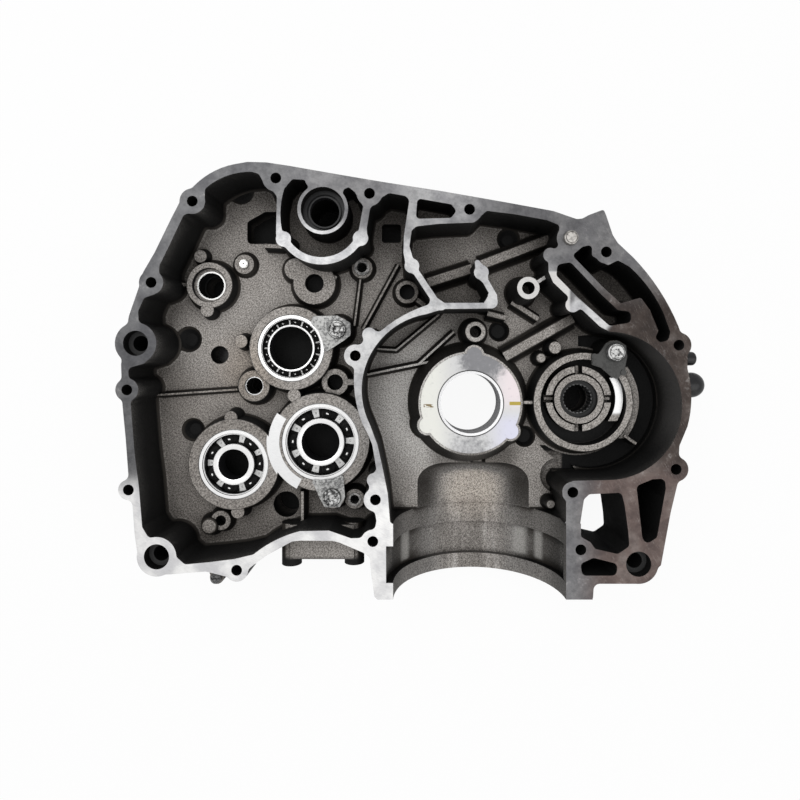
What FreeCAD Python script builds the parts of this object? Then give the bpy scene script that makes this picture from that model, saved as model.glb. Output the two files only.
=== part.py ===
import FreeCAD, Part

import math
import os

from FreeCAD import Placement, Rotation, Vector

# One half of a single-cylinder engine's crankcase, lying with its split face up.
# Sizes are millimetres. The origin is on the crankshaft axis at the level of the
# bearing insert's face. +Z comes out of the split face, +Y points to the gearbox end.

doc = FreeCAD.newDocument("crankcase_half")
sheet = doc.addObject("Spreadsheet::Sheet", "sizes")
row_count = 0


def put(alias, value, note=""):
    """Write one driving size in the sheet."""
    global row_count
    row_count += 1
    sheet.set("A%d" % row_count, note or alias.replace("_", " "))
    sheet.set("B%d" % row_count, "%.6g" % value)
    sheet.setAlias("B%d" % row_count, alias)


# Casting
put("split_height", 18.0, "split face above the origin")
put("case_depth", 70.0, "split face to the outer cover face")
put("gear_floor", 35.0, "split face to the gearbox floor")
put("crank_floor", 35.0, "split face to the crank chamber floor")
put("balance_floor", 40.0, "split face to the floor round the balance shaft")
put("back_floor", 41.0, "split face to the back of the floor")
put("leg_depth", 45.0, "thickness of the lower right corner")
put("neck_rim", 14.0, "thickness of the split flange beside the cylinder mouth")
put("skirt_wall", 6.0, "wall between the split flange and the cover face")
put("foot_flare", 3.0, "fillet at the foot of bosses and ribs")
put("pocket_fillet", 3.0, "fillet at the bottom of the chambers")
put("corner_round", 1.6, "rounding of the outline's outer corners")
put("corner_fill", 3.2, "rounding of the outline's inner corners")
put("ring_arc_x", -95.5, "arc wall below the selector housing")
put("ring_arc_y", 117.6)
put("ring_arc_inner", 24.5)
put("ring_arc_wall", 4.6)
put("web_radius", 46.5, "clearance circle of the balance weight")
put("web_x", 84.0)
put("web_y", 0.0)

# Cylinder mouth
put("mouth_x", 3.6, "cylinder axis across the case")
put("deck_y", -121.4, "cylinder joint face")
put("mouth_radius", 54.2)
put("groove_radius", 58.6)
put("mouth_skin", 63.5, "outside of the mouth")
put("collar_inner_y", -111.0)
put("groove_inner_y", -88.0)
put("mouth_inner_y", -74.0)
put("rod_radius", 52.0, "connecting rod clearance")
put("rod_skin", 57.5)
put("rod_end_y", -42.0)
put("rod_end_round", 14.0, "run-out of the connecting rod clearance")

# Crankshaft bearing
put("insert_radius", 32.9)
put("insert_length", 26.0)
put("insert_rim", 1.5, "casting left round the insert")
put("shell_outer", 21.4, "outer radius of the plain bearing shells")
put("shell_wall", 1.7)
put("shell_length", 20.0)
put("lug_radius", 5.2)
put("lug_circle", 32.0)

# Rolling bearings: seat position, outer radius, bore radius and width
for name, x, y, outer, bore, width, ball, pitch in (
    ("input", -119.3, 36.6, 22.5, 14.2, 12.0, 2.4, 17.55),
    ("output", -99.7, -26.1, 26.0, 12.5, 15.0, 4.1, 19.1),
    ("layshaft", -157.7, -41.0, 23.5, 10.0, 14.0, 3.9, 16.8),
):
    put(name + "_x", x, name + " shaft axis")
    put(name + "_y", y)
    put(name + "_outer", outer, "outer radius")
    put(name + "_bore", bore, "bore radius")
    put(name + "_width", width)
    put(name + "_ball", ball, "ball radius")
    put(name + "_pitch", pitch, "radius of the ball circle")
put("bearing_face", 22.0, "split face to the bearing faces")
put("input_boss", 28.2)
put("output_boss", 33.0)
put("layshaft_boss", 30.4)
put("ball_play", 0.1)
put("crescent_inner", 30.0, "machined crescent beside the output bearing")
put("crescent_outer", 34.8)
put("crescent_from", 146.0, "angle in degrees")
put("crescent_to", 243.0)

# Balance shaft
put("balance_x", 72.3, "balance shaft axis")
put("balance_y", 2.8)
put("balance_hub", 16.4)
put("balance_bore", 12.6)
put("balance_face", 21.0, "split face to the hub")
put("cup_wall", 1.2)
put("cup_length", 13.0)
put("needle_radius", 1.1)
put("needle_length", 9.6)
put("ring_x", 75.0, "wall round the balance gear")
put("ring_y", 0.6)
put("ring_outer", 33.2)
put("ring_inner", 28.6)
put("ring_face", 20.0)

# Small bearings and fittings
put("drum_x", -175.3, "selector drum axis")
put("drum_y", 79.2)
put("drum_bush_outer", 9.7)
put("drum_bush_inner", 8.7)
put("drum_bush_length", 11.0)
put("fork_x", -145.2, "selector fork shaft axis")
put("fork_y", 11.2)
put("fork_sleeve_outer", 6.4)
put("fork_sleeve_inner", 5.6)
put("fork_sleeve_length", 14.0)
put("small_boss_face", 26.0, "split face to the small shaft bosses")
put("plate_thickness", 1.6)
put("screw_head", 6.0)
put("screw_shank", 3.0)
put("screw_length", 12.0)
put("pin_radius", 4.6)
put("pin_length", 16.0)
put("rim_thread", 3.4, "radius of the tapped holes in the rim")
put("rim_thread_depth", 26.0)
put("dowel_radius", 7.9, "dowel counterbore")
put("dowel_depth", 7.0)
put("dowel_hole", 5.0)
put("side_plug_radius", 8.3)
put("side_plug_reach", 20.0)
put("side_plug_x", 136.0, "seat of the plug in the right-hand wall")
put("side_plug_y", 12.0)
put("side_plug_stub", 5.0)
put("side_plug_stub_length", 3.0)
put("side_plug_depth", 24.0)

# Places of the small bosses, holes and fittings
for name, x, y in (
    ("input_screw", -88.4, 48.9),
    ("output_screw", -91.6, -62.1),
    ("balance_screw", 95.5, 33.7),
    ("pin", 60.5, 105.0),
    ("housing", -94.7, 123.4),
    ("jet", -153.1, 94.1),
    ("breather", -72.6, 91.3),
    ("tube", -77.2, -65.0),
    ("gallery", -171.4, 32.2),
    ("oilway", -125.3, -70.8),
    ("idle", -90.5, 13.7),
    ("pit_pad", -104.9, 80.7),
    ("funnel", -42.0, 75.0),
    ("drain", -168.6, -80.4),
    ("crown", 3.2, 47.4),
    ("tall", 35.9, 74.9),
    ("lug_screw", -167.7, -114.8),
):
    put(name + "_x", x, name.replace("_", " ") + " position")
    put(name + "_y", y)

# Rim fasteners: position and the radius of the boss round each
RIM_BOLTS = [
    (-124.1, 142.7, 8.4),
    (-176.4, 128.2, 8.0),
    (-202.2, 77.3, 7.6),
    (-217.4, 10.0, 7.2),
    (-216.4, -52.7, 6.4),
    (-148.6, -103.0, 7.2),
    (-61.7, -58.9, 7.3),
    (-63.3, -85.0, 7.4),
    (-74.3, 31.4, 7.0),
    (-65.4, 133.1, 8.0),
    (-2.7, 123.1, 8.3),
    (83.0, 96.4, 7.3),
    (128.5, 38.0, 7.8),
    (126.7, -39.8, 7.7),
    (62.0, -54.2, 6.7),
    (67.0, -90.2, 6.6),
]
DOWELS = [
    (-211.9, 39.2, 13.0),
    (-198.8, -94.6, 12.4),
    (103.2, -99.2, 12.4),
]
# Flat-topped pads that stand level with the split face
RIM_PADS = [
    (-119.3, 104.5, 4.75),
    (-71.0, 105.0, 4.8),
    (-38.8, 87.7, 4.6),
    (4.7, 83.6, 4.6),
    (48.0, 94.5, 4.5),
    (62.0, 63.2, 4.6),
    (-65.5, 44.6, 4.4),
    (-62.6, -46.6, 4.4),
]
for number, (x, y, boss) in enumerate(RIM_BOLTS):
    put("bolt%02d_x" % number, x, "rim bolt %d" % number)
    put("bolt%02d_y" % number, y)
    put("bolt%02d_boss" % number, boss)
for number, (x, y, boss) in enumerate(DOWELS):
    put("dowel%02d_x" % number, x, "dowel %d" % number)
    put("dowel%02d_y" % number, y)
    put("dowel%02d_boss" % number, boss)
doc.recompute()


def size(alias):
    """Read one size from the sheet."""
    return float(sheet.get(alias))


def at(name):
    """Position of a named boss, hole or fitting."""
    return size(name + "_x"), size(name + "_y")


SPLIT = size("split_height")
DEPTH = size("case_depth")
GEAR = size("gear_floor")
CRANK = size("crank_floor")
BALANCE = size("balance_floor")
BACK = size("back_floor")
FACE = size("bearing_face")
FLARE = size("foot_flare")


def height(depth):
    """Turn a depth below the split face into a height."""
    return SPLIT - depth


def outline(start, *legs):
    """Closed face of straight legs, and arcs given as a point on the way and an end."""
    edges = []
    here = Vector(start[0], start[1], 0)
    first = here
    for leg in legs:
        if isinstance(leg[0], tuple):
            via = Vector(leg[0][0], leg[0][1], 0)
            end = Vector(leg[1][0], leg[1][1], 0)
            edges.append(Part.Arc(here, via, end).toShape())
        else:
            end = Vector(leg[0], leg[1], 0)
            edges.append(Part.LineSegment(here, end).toShape())
        here = end
    if here.distanceToPoint(first) > 0.001:
        edges.append(Part.LineSegment(here, first).toShape())
    face = Part.Face(Part.Wire(edges))
    if face.normalAt(0, 0).z > 0:
        return face
    return Part.Face(Part.Wire([edge.reversed() for edge in reversed(edges)]))


def disc(x, y, radius):
    """Round face."""
    return Part.Face(Part.Wire(Part.makeCircle(radius, Vector(x, y, 0))))


def biggest(shape):
    """The largest face of a flat shape."""
    return max(shape.Faces, key=lambda face: face.Area)


def softened(face, outer, inner):
    """Round a face's outer corners and fill its inner ones."""
    face = biggest(face.makeOffset2D(-outer))
    face = biggest(face.makeOffset2D(outer + inner))
    return biggest(face.makeOffset2D(-inner))


def prism(face, top, bottom):
    """Solid between two depths below the split face."""
    moved = face.copy()
    moved.translate(Vector(0, 0, height(bottom)))
    return moved.extrude(Vector(0, 0, bottom - top))


def pocket(face, bottom, fillet, outer=0.0, inner=0.0):
    """Chamber cut from the split face, with a filleted floor."""
    outer = outer or size("corner_round")
    inner = inner or size("corner_fill")
    flat = softened(face, outer, inner)
    solid = prism(flat, -1.0, bottom)
    low = height(bottom)
    rim = [
        edge
        for edge in solid.Edges
        if edge.BoundBox.ZMax < low + 0.01
    ]
    radius = min(fillet, outer * 0.9)
    return solid.makeFillet(radius, rim)


def boss(x, y, radius, top, floor, lip=0.8, slope=1.2, flare=0.0):
    """Round boss with a soft lip, drafted side and flared foot."""
    flare = flare or FLARE
    high = height(top)
    low = height(floor) - 0.3
    turn = lip * (1 - math.sqrt(0.5))
    foot = radius + slope
    bend = flare * (1 - math.sqrt(0.5))
    points = [
        Vector(0, 0, high),
        Vector(radius - lip, 0, high),
        Vector(radius, 0, high - lip),
        Vector(foot, 0, low + flare),
        Vector(foot + flare, 0, low),
        Vector(foot + flare, 0, low - 1.2),
        Vector(0, 0, low - 1.2),
    ]
    edges = [Part.LineSegment(points[0], points[1]).toShape()]
    if lip > 0:
        soft = Vector(radius - turn, 0, high - turn)
        edges.append(Part.Arc(points[1], soft, points[2]).toShape())
    edges += [
        Part.LineSegment(points[2], points[3]).toShape(),
        Part.Arc(points[3], Vector(foot + bend, 0, low + bend), points[4]).toShape(),
        Part.LineSegment(points[4], points[5]).toShape(),
        Part.LineSegment(points[5], points[6]).toShape(),
        Part.LineSegment(points[6], points[0]).toShape(),
    ]
    solid = Part.Face(Part.Wire(edges)).revolve(Vector(0, 0, 0), Vector(0, 0, 1), 360)
    solid.translate(Vector(x, y, 0))
    return solid


def rib(start, end, width, top, floor, flare=0.0):
    """Straight rib with a rounded crest and flared foot, from one point to another."""
    flare = flare or FLARE
    along = Vector(end[0] - start[0], end[1] - start[1], 0)
    high = height(top)
    low = height(floor) - 0.3
    half = width / 2.0
    side = half * 0.55
    foot = half + 0.08 * (high - low)
    bend = flare * (1 - math.sqrt(0.5))
    right = [
        Vector(side, 0, high),
        Vector(half, 0, high - (half - side)),
        Vector(foot, 0, low + flare),
        Vector(foot + flare, 0, low),
        Vector(foot + flare, 0, low - 1.2),
    ]
    left = [Vector(-point.x, 0, point.z) for point in right]
    turn = (half - side) * (1 - math.sqrt(0.5))
    edges = [
        Part.Arc(right[0], Vector(half - turn, 0, high - turn), right[1]).toShape(),
        Part.LineSegment(right[1], right[2]).toShape(),
        Part.Arc(right[2], Vector(foot + bend, 0, low + bend), right[3]).toShape(),
        Part.LineSegment(right[3], right[4]).toShape(),
        Part.LineSegment(right[4], left[4]).toShape(),
        Part.LineSegment(left[4], left[3]).toShape(),
        Part.Arc(left[3], Vector(-foot - bend, 0, low + bend), left[2]).toShape(),
        Part.LineSegment(left[2], left[1]).toShape(),
        Part.Arc(left[1], Vector(-half + turn, 0, high - turn), left[0]).toShape(),
        Part.LineSegment(left[0], right[0]).toShape(),
    ]
    solid = Part.Face(Part.Wire(edges)).extrude(Vector(0, along.Length, 0))
    angle = math.degrees(math.atan2(along.y, along.x)) - 90.0
    solid.Placement = Placement(Vector(start[0], start[1], 0), Rotation(Vector(0, 0, 1), angle))
    return solid


def post(x, y, radius, top, bottom):
    """Plain upright cylinder between two depths."""
    return Part.makeCylinder(radius, bottom - top, Vector(x, y, height(bottom)))


def dish(x, y, radius, top, bottom, flat=0.45):
    """Round pit with sloping sides."""
    base = Part.makeCone(radius * flat, radius, bottom - top, Vector(x, y, height(bottom)))
    return base


def box(x0, x1, y0, y1, top, bottom):
    """Upright block between two depths."""
    return Part.makeBox(x1 - x0, y1 - y0, bottom - top, Vector(x0, y0, height(bottom)))


def barrel(x, radius, y0, y1):
    """Cylinder along Y on the split plane."""
    return Part.makeCylinder(radius, y1 - y0, Vector(x, y0, SPLIT), Vector(0, 1, 0))


# Outer outline of the split face
deck = size("deck_y")
rim = outline(
    (-142.0, 152.8),
    (-130.0, 152.5),
    (-116.0, 150.4),
    (-84.0, 144.8),
    (-55.5, 140.0),
    (-20.0, 134.5),
    (20.0, 127.5),
    (50.0, 122.0),
    (60.0, 118.5),
    (64.5, 117.0),
    (68.0, 117.3),
    (72.0, 119.5),
    (81.3, 123.0),
    (83.0, 119.0),
    (87.0, 107.0),
    (90.2, 102.0),
    (100.0, 92.8),
    ((115.0, 74.3), (128.2, 49.7)),
    (133.8, 33.0),
    (133.8, 23.3),
    ((136.2, 2.0), (133.8, -13.0)),
    (128.8, -25.0),
    (127.4, -49.7),
    (123.3, -66.8),
    (117.2, -99.9),
    (103.9, -111.5),
    (75.2, -111.5),
    (74.6, deck),
    (-60.4, deck),
    (-62.4, -119.6),
    (-64.8, -101.2),
    (-65.2, -94.8),
    (-69.2, -92.0),
    (-84.4, -85.6),
    (-88.4, -84.6),
    (-108.4, -84.4),
    (-114.0, -85.0),
    (-130.2, -94.0),
    (-141.0, -102.0),
    (-155.0, -107.0),
    (-167.8, -103.8),
    (-190.2, -105.6),
    (-204.0, -105.6),
    (-210.9, -91.6),
    (-212.5, -80.5),
    (-214.1, -58.9),
    (-216.2, -46.0),
    (-218.1, -20.4),
    (-220.1, 0.4),
    (-221.0, 26.0),
    (-216.1, 56.2),
    (-209.5, 75.3),
    (-207.0, 84.0),
    (-200.0, 96.0),
    (-190.0, 116.5),
    (-184.6, 127.0),
    (-175.4, 137.7),
    ((-164.6, 146.0), (-150.0, 151.4)),
)
stations = []
for number in range(len(RIM_BOLTS)):
    name = "bolt%02d" % number
    stations.append((size(name + "_x"), size(name + "_y"), size(name + "_boss")))
for number in range(len(DOWELS)):
    name = "dowel%02d" % number
    stations.append((size(name + "_x"), size(name + "_y"), size(name + "_boss")))
stations.append((*at("pin"), 8.5))
pads = [disc(x, y, radius) for x, y, radius in RIM_PADS]
rounds = [disc(x, y, radius) for x, y, radius in stations]
rim = biggest(rim.fuse(rounds).removeSplitter())
rim = softened(rim, 1.5, 4.0)

# Chambers and hollows, seen on the split face
arc_x = size("ring_arc_x")
arc_y = size("ring_arc_y")
arc_inner = size("ring_arc_inner")
arc_outer = arc_inner + size("ring_arc_wall")
gearbox = outline(
    (-139.0, 146.6),
    ((-156.0, 143.6), (-168.4, 136.0)),
    (-169.0, 124.0),
    (-181.8, 119.6),
    (-191.0, 100.0),
    (-196.9, 88.0),
    (-198.0, 74.0),
    (-200.0, 69.9),
    (-206.6, 67.6),
    (-210.3, 59.4),
    (-210.0, 52.0),
    (-203.0, 46.0),
    (-203.0, 31.0),
    (-206.2, 26.6),
    (-216.6, 23.6),
    (-216.0, 14.0),
    (-214.9, 0.4),
    (-212.5, -30.0),
    (-209.8, -51.0),
    (-207.8, -76.0),
    (-204.5, -81.5),
    (-192.0, -90.0),
    (-184.0, -96.8),
    (-181.0, -99.4),
    (-166.2, -98.0),
    (-150.2, -96.0),
    (-138.2, -93.2),
    ((-122.2, -83.2), (-109.0, -78.5)),
    (-90.7, -78.2),
    (-77.0, -83.0),
    (-71.0, -82.8),
    (-62.0, -77.4),
    (-61.0, -72.0),
    (-64.0, -55.0),
    (-64.0, -48.0),
    (-61.0, -40.0),
    (-63.6, -24.4),
    (-66.4, -17.6),
    (-69.6, -11.6),
    ((-75.0, 12.0), (-74.0, 30.0)),
    (-66.0, 41.0),
    (-59.5, 45.8),
    ((-46.0, 55.6), (-28.4, 63.4)),
    (-27.0, 66.4),
    (-37.6, 82.4),
    (-42.0, 84.5),
    (-44.1, 96.1),
    (-43.8, 106.5),
    (-40.4, 128.9),
    (-42.6, 131.4),
    (-53.1, 133.3),
    (-62.0, 128.0),
    (-65.1, 123.3),
    (-67.1, 111.3),
    (-66.6, 104.0),
    (-71.0, 101.4),
    ((arc_x, arc_y - arc_outer), (-119.4, 101.0)),
    (-123.9, 108.0),
    (-123.4, 131.2),
    (-128.0, 137.4),
    (-131.6, 139.6),
    (-134.6, 145.2),
)
ring_pocket = outline(
    (-105.2, 139.6),
    (-106.0, 141.6),
    (-113.6, 142.0),
    (-118.6, 136.6),
    ((-121.2, 122.0), (-119.8, 108.0)),
    (-114.8, 102.5),
    ((arc_x, arc_y - arc_inner), (-75.9, 102.9)),
    (-72.3, 109.0),
    (-69.3, 124.9),
    (-74.6, 134.0),
    (-78.4, 137.0),
    (-81.2, 135.8),
    (-84.0, 130.0),
    (-94.7, 123.4),
)
slot_high = outline(
    (-36.4, 117.1),
    (-35.4, 130.0),
    (-14.0, 126.2),
    (-10.8, 122.0),
    (-14.3, 117.7),
)
crank = outline(
    (-52.4, size("mouth_inner_y")),
    (-54.0, -54.8),
    (-57.2, -38.8),
    (-60.4, -24.4),
    (-65.2, -11.6),
    ((-70.3, 10.5), (-62.8, 35.6)),
    ((-48.7, 50.0), (-30.0, 57.4)),
    (-22.0, 59.8),
    (-2.0, 60.7),
    (13.0, 61.2),
    (15.0, 64.4),
    (14.4, 69.2),
    (7.0, 83.0),
    (4.4, 87.0),
    (2.4, 90.0),
    (1.0, 88.4),
    (2.6, 82.0),
    (9.2, 69.4),
    (6.7, 64.9),
    (-18.3, 64.4),
    (-23.0, 67.6),
    (-37.0, 88.6),
    (-40.4, 100.0),
    (-39.0, 109.8),
    (-36.0, 112.4),
    (-22.3, 114.0),
    (0.0, 114.8),
    (8.0, 122.2),
    (25.6, 120.0),
    (45.6, 116.4),
    (53.6, 113.2),
    (53.0, 98.8),
    (46.6, 97.0),
    (46.8, 84.0),
    (49.7, 77.2),
    (62.0, 65.8),
    (67.2, 60.8),
    (79.0, 49.6),
    (85.0, size("web_radius")),
    ((size("web_x") + size("web_radius"), size("web_y")), (84.0, -size("web_radius"))),
    (62.0, -47.0),
    (57.8, -60.0),
    (57.8, size("mouth_inner_y")),
)
slot_slant = outline(
    (52.4, 88.6),
    (60.6, 90.0),
    (80.0, 69.6),
    (90.2, 60.0),
    (98.2, 59.0),
    (98.6, 52.2),
    (85.0, 50.0),
    (65.0, 68.0),
    (51.6, 81.6),
)
slot_corner = outline(
    (61.6, 94.2),
    (68.0, 99.6),
    (74.0, 101.0),
    (74.0, 94.0),
    (84.0, 88.0),
    (90.2, 91.2),
    (97.4, 87.2),
    ((110.5, 72.6), (119.0, 57.6)),
    (123.0, 46.5),
    (122.0, 41.0),
    (116.6, 39.6),
    (113.6, 42.6),
    (115.6, 47.0),
    (110.2, 60.1),
    (104.6, 67.8),
    (92.0, 64.2),
    (80.0, 75.2),
)
window = outline(
    (69.0, -58.6),
    (72.3, -55.4),
    (92.6, -54.4),
    (94.5, -62.6),
    (96.7, -78.4),
    (97.4, -88.0),
    (90.2, -92.9),
    (75.9, -89.6),
    (73.0, -85.4),
    (66.8, -82.0),
    (66.6, -74.0),
)
leg_slot = outline(
    (111.8, -46.0),
    (119.8, -45.6),
    (120.2, -52.0),
    (114.7, -82.6),
    (107.5, -87.2),
    (105.4, -82.0),
    (101.8, -50.2),
)
leg_pocket = outline(
    (66.6, -99.0),
    (75.0, -95.2),
    (89.9, -99.0),
    (89.4, -106.4),
    (68.0, -106.4),
)


def clear_of_bosses(face, radius_extra=0.0, with_pads=True):
    """Take the bosses and pads of the split face out of a chamber's outline."""
    tools = [disc(x, y, radius + radius_extra) for x, y, radius in stations]
    if with_pads:
        tools = tools + pads
    return biggest(face.cut(tools))


fillet = size("pocket_fillet")
ring_open = clear_of_bosses(ring_pocket)
ring_open = biggest(ring_open.cut([disc(*at("housing"), 15.9)]))
hollows = [
    pocket(clear_of_bosses(gearbox), GEAR, fillet, 3.3, 3.0),
    pocket(clear_of_bosses(crank), CRANK, fillet, 2.4, 2.6),
    pocket(ring_open, 24.0, 1.4, 1.7, 1.2),
    pocket(clear_of_bosses(slot_high), 22.0, 2.0, 2.4, 2.0),
    pocket(clear_of_bosses(slot_slant), 24.0, 2.4, 3.0, 2.0),
    pocket(clear_of_bosses(slot_corner), 30.0, 2.0, 2.2, 2.0),
    prism(softened(clear_of_bosses(window), 3.0, 2.0), -1.0, DEPTH),
    pocket(clear_of_bosses(leg_slot), 36.0, 2.4, 3.2, 2.0),
    pocket(clear_of_bosses(leg_pocket), 26.0, 2.4, 3.2, 2.0),
]

# Body of the casting: the lower right corner is thinner, and beside the cylinder
# mouth only the split flange remains
block = prism(rim, 0.0, DEPTH)
web = post(size("web_x"), size("web_y"), size("web_radius") + 6.5, 20.0, DEPTH + 2)
thin_corner = box(57.8, 160.0, -130.0, -8.0, size("leg_depth"), DEPTH + 1).cut(web)
neck = box(-68.0, 90.0, -130.0, size("groove_inner_y") - 1.0, size("neck_rim"), DEPTH + 1)
neck_keep = outline(
    (57.8, -112.0),
    (57.8, -80.0),
    (120.0, -80.0),
    (120.0, -115.0),
    (60.0, -115.0),
)
neck = neck.cut(prism(neck_keep, 0.0, size("leg_depth")))
block = block.cut([thin_corner, neck])

# Back of the casting: a skirt round the outline down to the cover face
inside = biggest(rim.makeOffset2D(-size("skirt_wall")))
back_bosses = [disc(x, y, radius + 0.6) for x, y, radius in stations]
split_wall = outline((-50.0, 160.0), (-44.0, 160.0), (-44.0, 100.0), (-74.0, 36.0), (-66.0, -40.0),
                     (-60.0, -130.0), (-66.0, -130.0), (-72.0, -40.0), (-80.0, 36.0), (-50.0, 100.0))
below = outline((-70.0, -89.0), (45.0, -89.0), (57.8, -60.0), (200.0, -60.0), (200.0, -140.0),
                (-70.0, -140.0))
flat_back = inside.cut(back_bosses + [split_wall, below])
hollow_back = []
for face in flat_back.Faces:
    if face.Area > 200.0:
        hollow_back.append(prism(face, BACK, DEPTH + 1))
block = block.cut(hollow_back + hollows)

# Cylinder mouth, connecting rod relief and cylinder joint flange
mouth_x = size("mouth_x")
mouth_skin = size("mouth_skin")
inner_y = size("mouth_inner_y")
lower_half = box(-80.0, 90.0, deck, 20.0, 0.0, 80.0)
mouth = barrel(mouth_x, mouth_skin, deck, inner_y).common(lower_half)
rod_floor = box(-60.0, 65.0, inner_y - 1, 0.0, CRANK, 80.0)
rod_bed = barrel(mouth_x, size("rod_skin"), inner_y - 1, -38.0).common(rod_floor)
flange = box(-60.0, 74.4, deck, deck + 9.5, 0.0, 66.0)
flange = flange.makeFillet(9.0, [
    edge for edge in flange.Edges
    if edge.BoundBox.ZMax < height(60.0) and edge.BoundBox.YLength > 5.0
])

# Raised work on the chamber floors: shaft bosses, fork bosses, pads and ribs
raised = [
    mouth,
    rod_bed,
    flange,
    boss(size("input_x"), size("input_y"), size("input_boss"), FACE, GEAR),
    boss(size("output_x"), size("output_y"), size("output_boss"), FACE, GEAR),
    boss(size("layshaft_x"), size("layshaft_y"), size("layshaft_boss"), FACE, GEAR),
    boss(size("drum_x"), size("drum_y"), 15.7, 26.0, GEAR),
    boss(size("fork_x"), size("fork_y"), 10.8, 26.0, GEAR),
    boss(*at("idle"), 9.4, 26.0, GEAR),
    boss(*at("jet"), 7.0, 30.5, GEAR, flare=2.0),
    boss(*at("pit_pad"), 14.6, 28.5, GEAR),
    boss(-118.0, 90.5, 7.6, 28.5, GEAR),
    boss(*at("breather"), 7.4, 30.0, GEAR, flare=2.0),
    boss(*at("funnel"), 8.2, 30.0, GEAR, flare=2.0),
    boss(*at("input_screw"), 9.0, FACE, GEAR),
    boss(*at("output_screw"), 8.6, FACE, GEAR),
    boss(*at("tube"), 7.0, 26.0, GEAR, flare=2.0),
    boss(-182.5, 99.2, 4.4, 29.0, GEAR, lip=0.4, flare=1.4),
    boss(-176.8, 62.3, 4.6, 26.0, GEAR, lip=0.4, flare=1.4),
    boss(-153.4, 41.2, 4.5, 24.0, GEAR, lip=0.4, flare=1.4),
    boss(-117.4, 5.0, 4.5, 22.4, GEAR, lip=0.4, flare=1.4),
    boss(-159.6, -9.8, 4.4, 22.4, GEAR, lip=0.4, flare=1.4),
    boss(-155.0, -72.8, 4.5, 22.4, GEAR, lip=0.4, flare=1.4),
    boss(*at("drain"), 7.0, 29.0, GEAR, flare=2.0),
    boss(-176.0, -84.0, 6.0, 27.0, GEAR, lip=2.4, flare=2.0),
    rib((-158.0, 8.6), (-217.0, 4.4), 1.6, 31.0, GEAR, flare=2.4),
    rib((-90.5, 13.7), (-74.0, 13.8), 5.0, 26.0, GEAR),
    rib((-176.0, 79.0), (-199.0, 80.6), 3.0, 30.5, GEAR, flare=2.0),
    rib((-73.0, 91.0), (-78.0, 52.0), 1.6, 31.0, GEAR, flare=2.4),
    rib((-48.0, 94.0), (-72.0, 50.0), 1.8, 31.0, GEAR, flare=2.4),
    rib((-42.0, 75.0), (-30.0, 66.0), 4.0, 31.0, GEAR, flare=2.0),
    rib((-118.0, 98.0), (-90.0, 84.0), 4.0, 29.0, GEAR, flare=2.0),
    rib((-77.0, -65.0), (-64.0, -66.0), 4.0, 27.0, GEAR, flare=2.0),
    rib((-138.0, 105.8), (-121.0, 105.0), 3.4, 26.0, GEAR, flare=2.0),
    rib((-112.6, -60.0), (-112.6, -86.0), 2.4, 26.0, GEAR, flare=2.0),
    boss(0.0, 0.0, size("insert_radius") + size("insert_rim"), 18.8, CRANK, lip=0.0, slope=5.6),
    boss(*at("crown"), 7.0, 18.0, CRANK, slope=1.8),
    boss(*at("tall"), 7.4, 8.0, CRANK, lip=0.4, slope=2.2),
    rib((36.0, 75.0), (55.0, 87.0), 3.0, 12.0, CRANK),
    rib((-66.0, 36.6), (-49.0, 35.4), 1.6, 30.5, CRANK, flare=2.4),
    rib((-50.0, 35.0), (-20.0, 60.0), 1.6, 30.5, CRANK, flare=2.4),
    rib((-70.0, 18.6), (-22.0, 28.4), 1.8, 30.0, CRANK, flare=2.6),
    rib((-10.0, 48.0), (-34.0, 26.0), 1.8, 30.0, CRANK, flare=2.6),
    rib((-28.0, 81.0), (2.0, 90.6), 8.0, 27.0, CRANK, flare=5.0),
    rib((8.0, 93.0), (57.0, 111.6), 8.0, 27.0, CRANK, flare=5.0),
    rib((24.0, 30.8), (70.0, 57.0), 8.0, 27.0, CRANK, flare=5.0),
    rib((29.0, 68.0), (47.0, 56.4), 4.0, 28.0, CRANK),
    rib((12.0, 60.0), (24.0, 57.0), 4.0, 24.0, CRANK),
    boss(48.4, 30.0, 3.6, 26.0, CRANK, lip=1.2, flare=2.0),
    boss(57.4, 37.0, 4.4, 24.0, CRANK, lip=0.8, flare=2.0),
    boss(55.0, -68.6, 3.4, 26.0, CRANK, lip=1.2, flare=2.0),
    rib((34.0, 0.4), (46.0, 0.4), 2.4, 22.0, CRANK, flare=2.0),
]

# Low wall round the small box beside the ribbon, up to the split face
box_wall = outline(
    (-25.0, 60.6),
    (10.6, 61.0),
    ((13.9, 62.3), (14.7, 66.0)),
    (14.5, 69.4),
    (9.0, 79.0),
    (8.4, 85.0),
    (3.6, 90.6),
    ((1.6, 91.2), (0.6, 89.4)),
    (1.4, 81.0),
    (5.8, 77.0),
    (9.6, 70.2),
    (9.6, 67.0),
    ((8.8, 65.2), (7.0, 64.5)),
    (-20.4, 64.5),
    (-24.0, 66.4),
)
raised.append(prism(box_wall, 0.0, CRANK + 1.0))

# The insert's lugs are held in the casting too
LUG_ANGLES = (85.6, 206.7, 325.3)
for angle in LUG_ANGLES:
    lug_x = size("lug_circle") * math.cos(math.radians(angle))
    lug_y = size("lug_circle") * math.sin(math.radians(angle))
    lug_boss = size("lug_radius") + size("insert_rim")
    raised.append(boss(lug_x, lug_y, lug_boss, 18.8, CRANK, lip=0.0, slope=3.6))

# Machined crescent that widens the output bearing's boss on one side
def crescent_point(radius, angle):
    """Point at a radius and an angle from the output shaft's axis."""
    turn = math.radians(angle)
    return (size("output_x") + radius * math.cos(turn),
            size("output_y") + radius * math.sin(turn))


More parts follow.
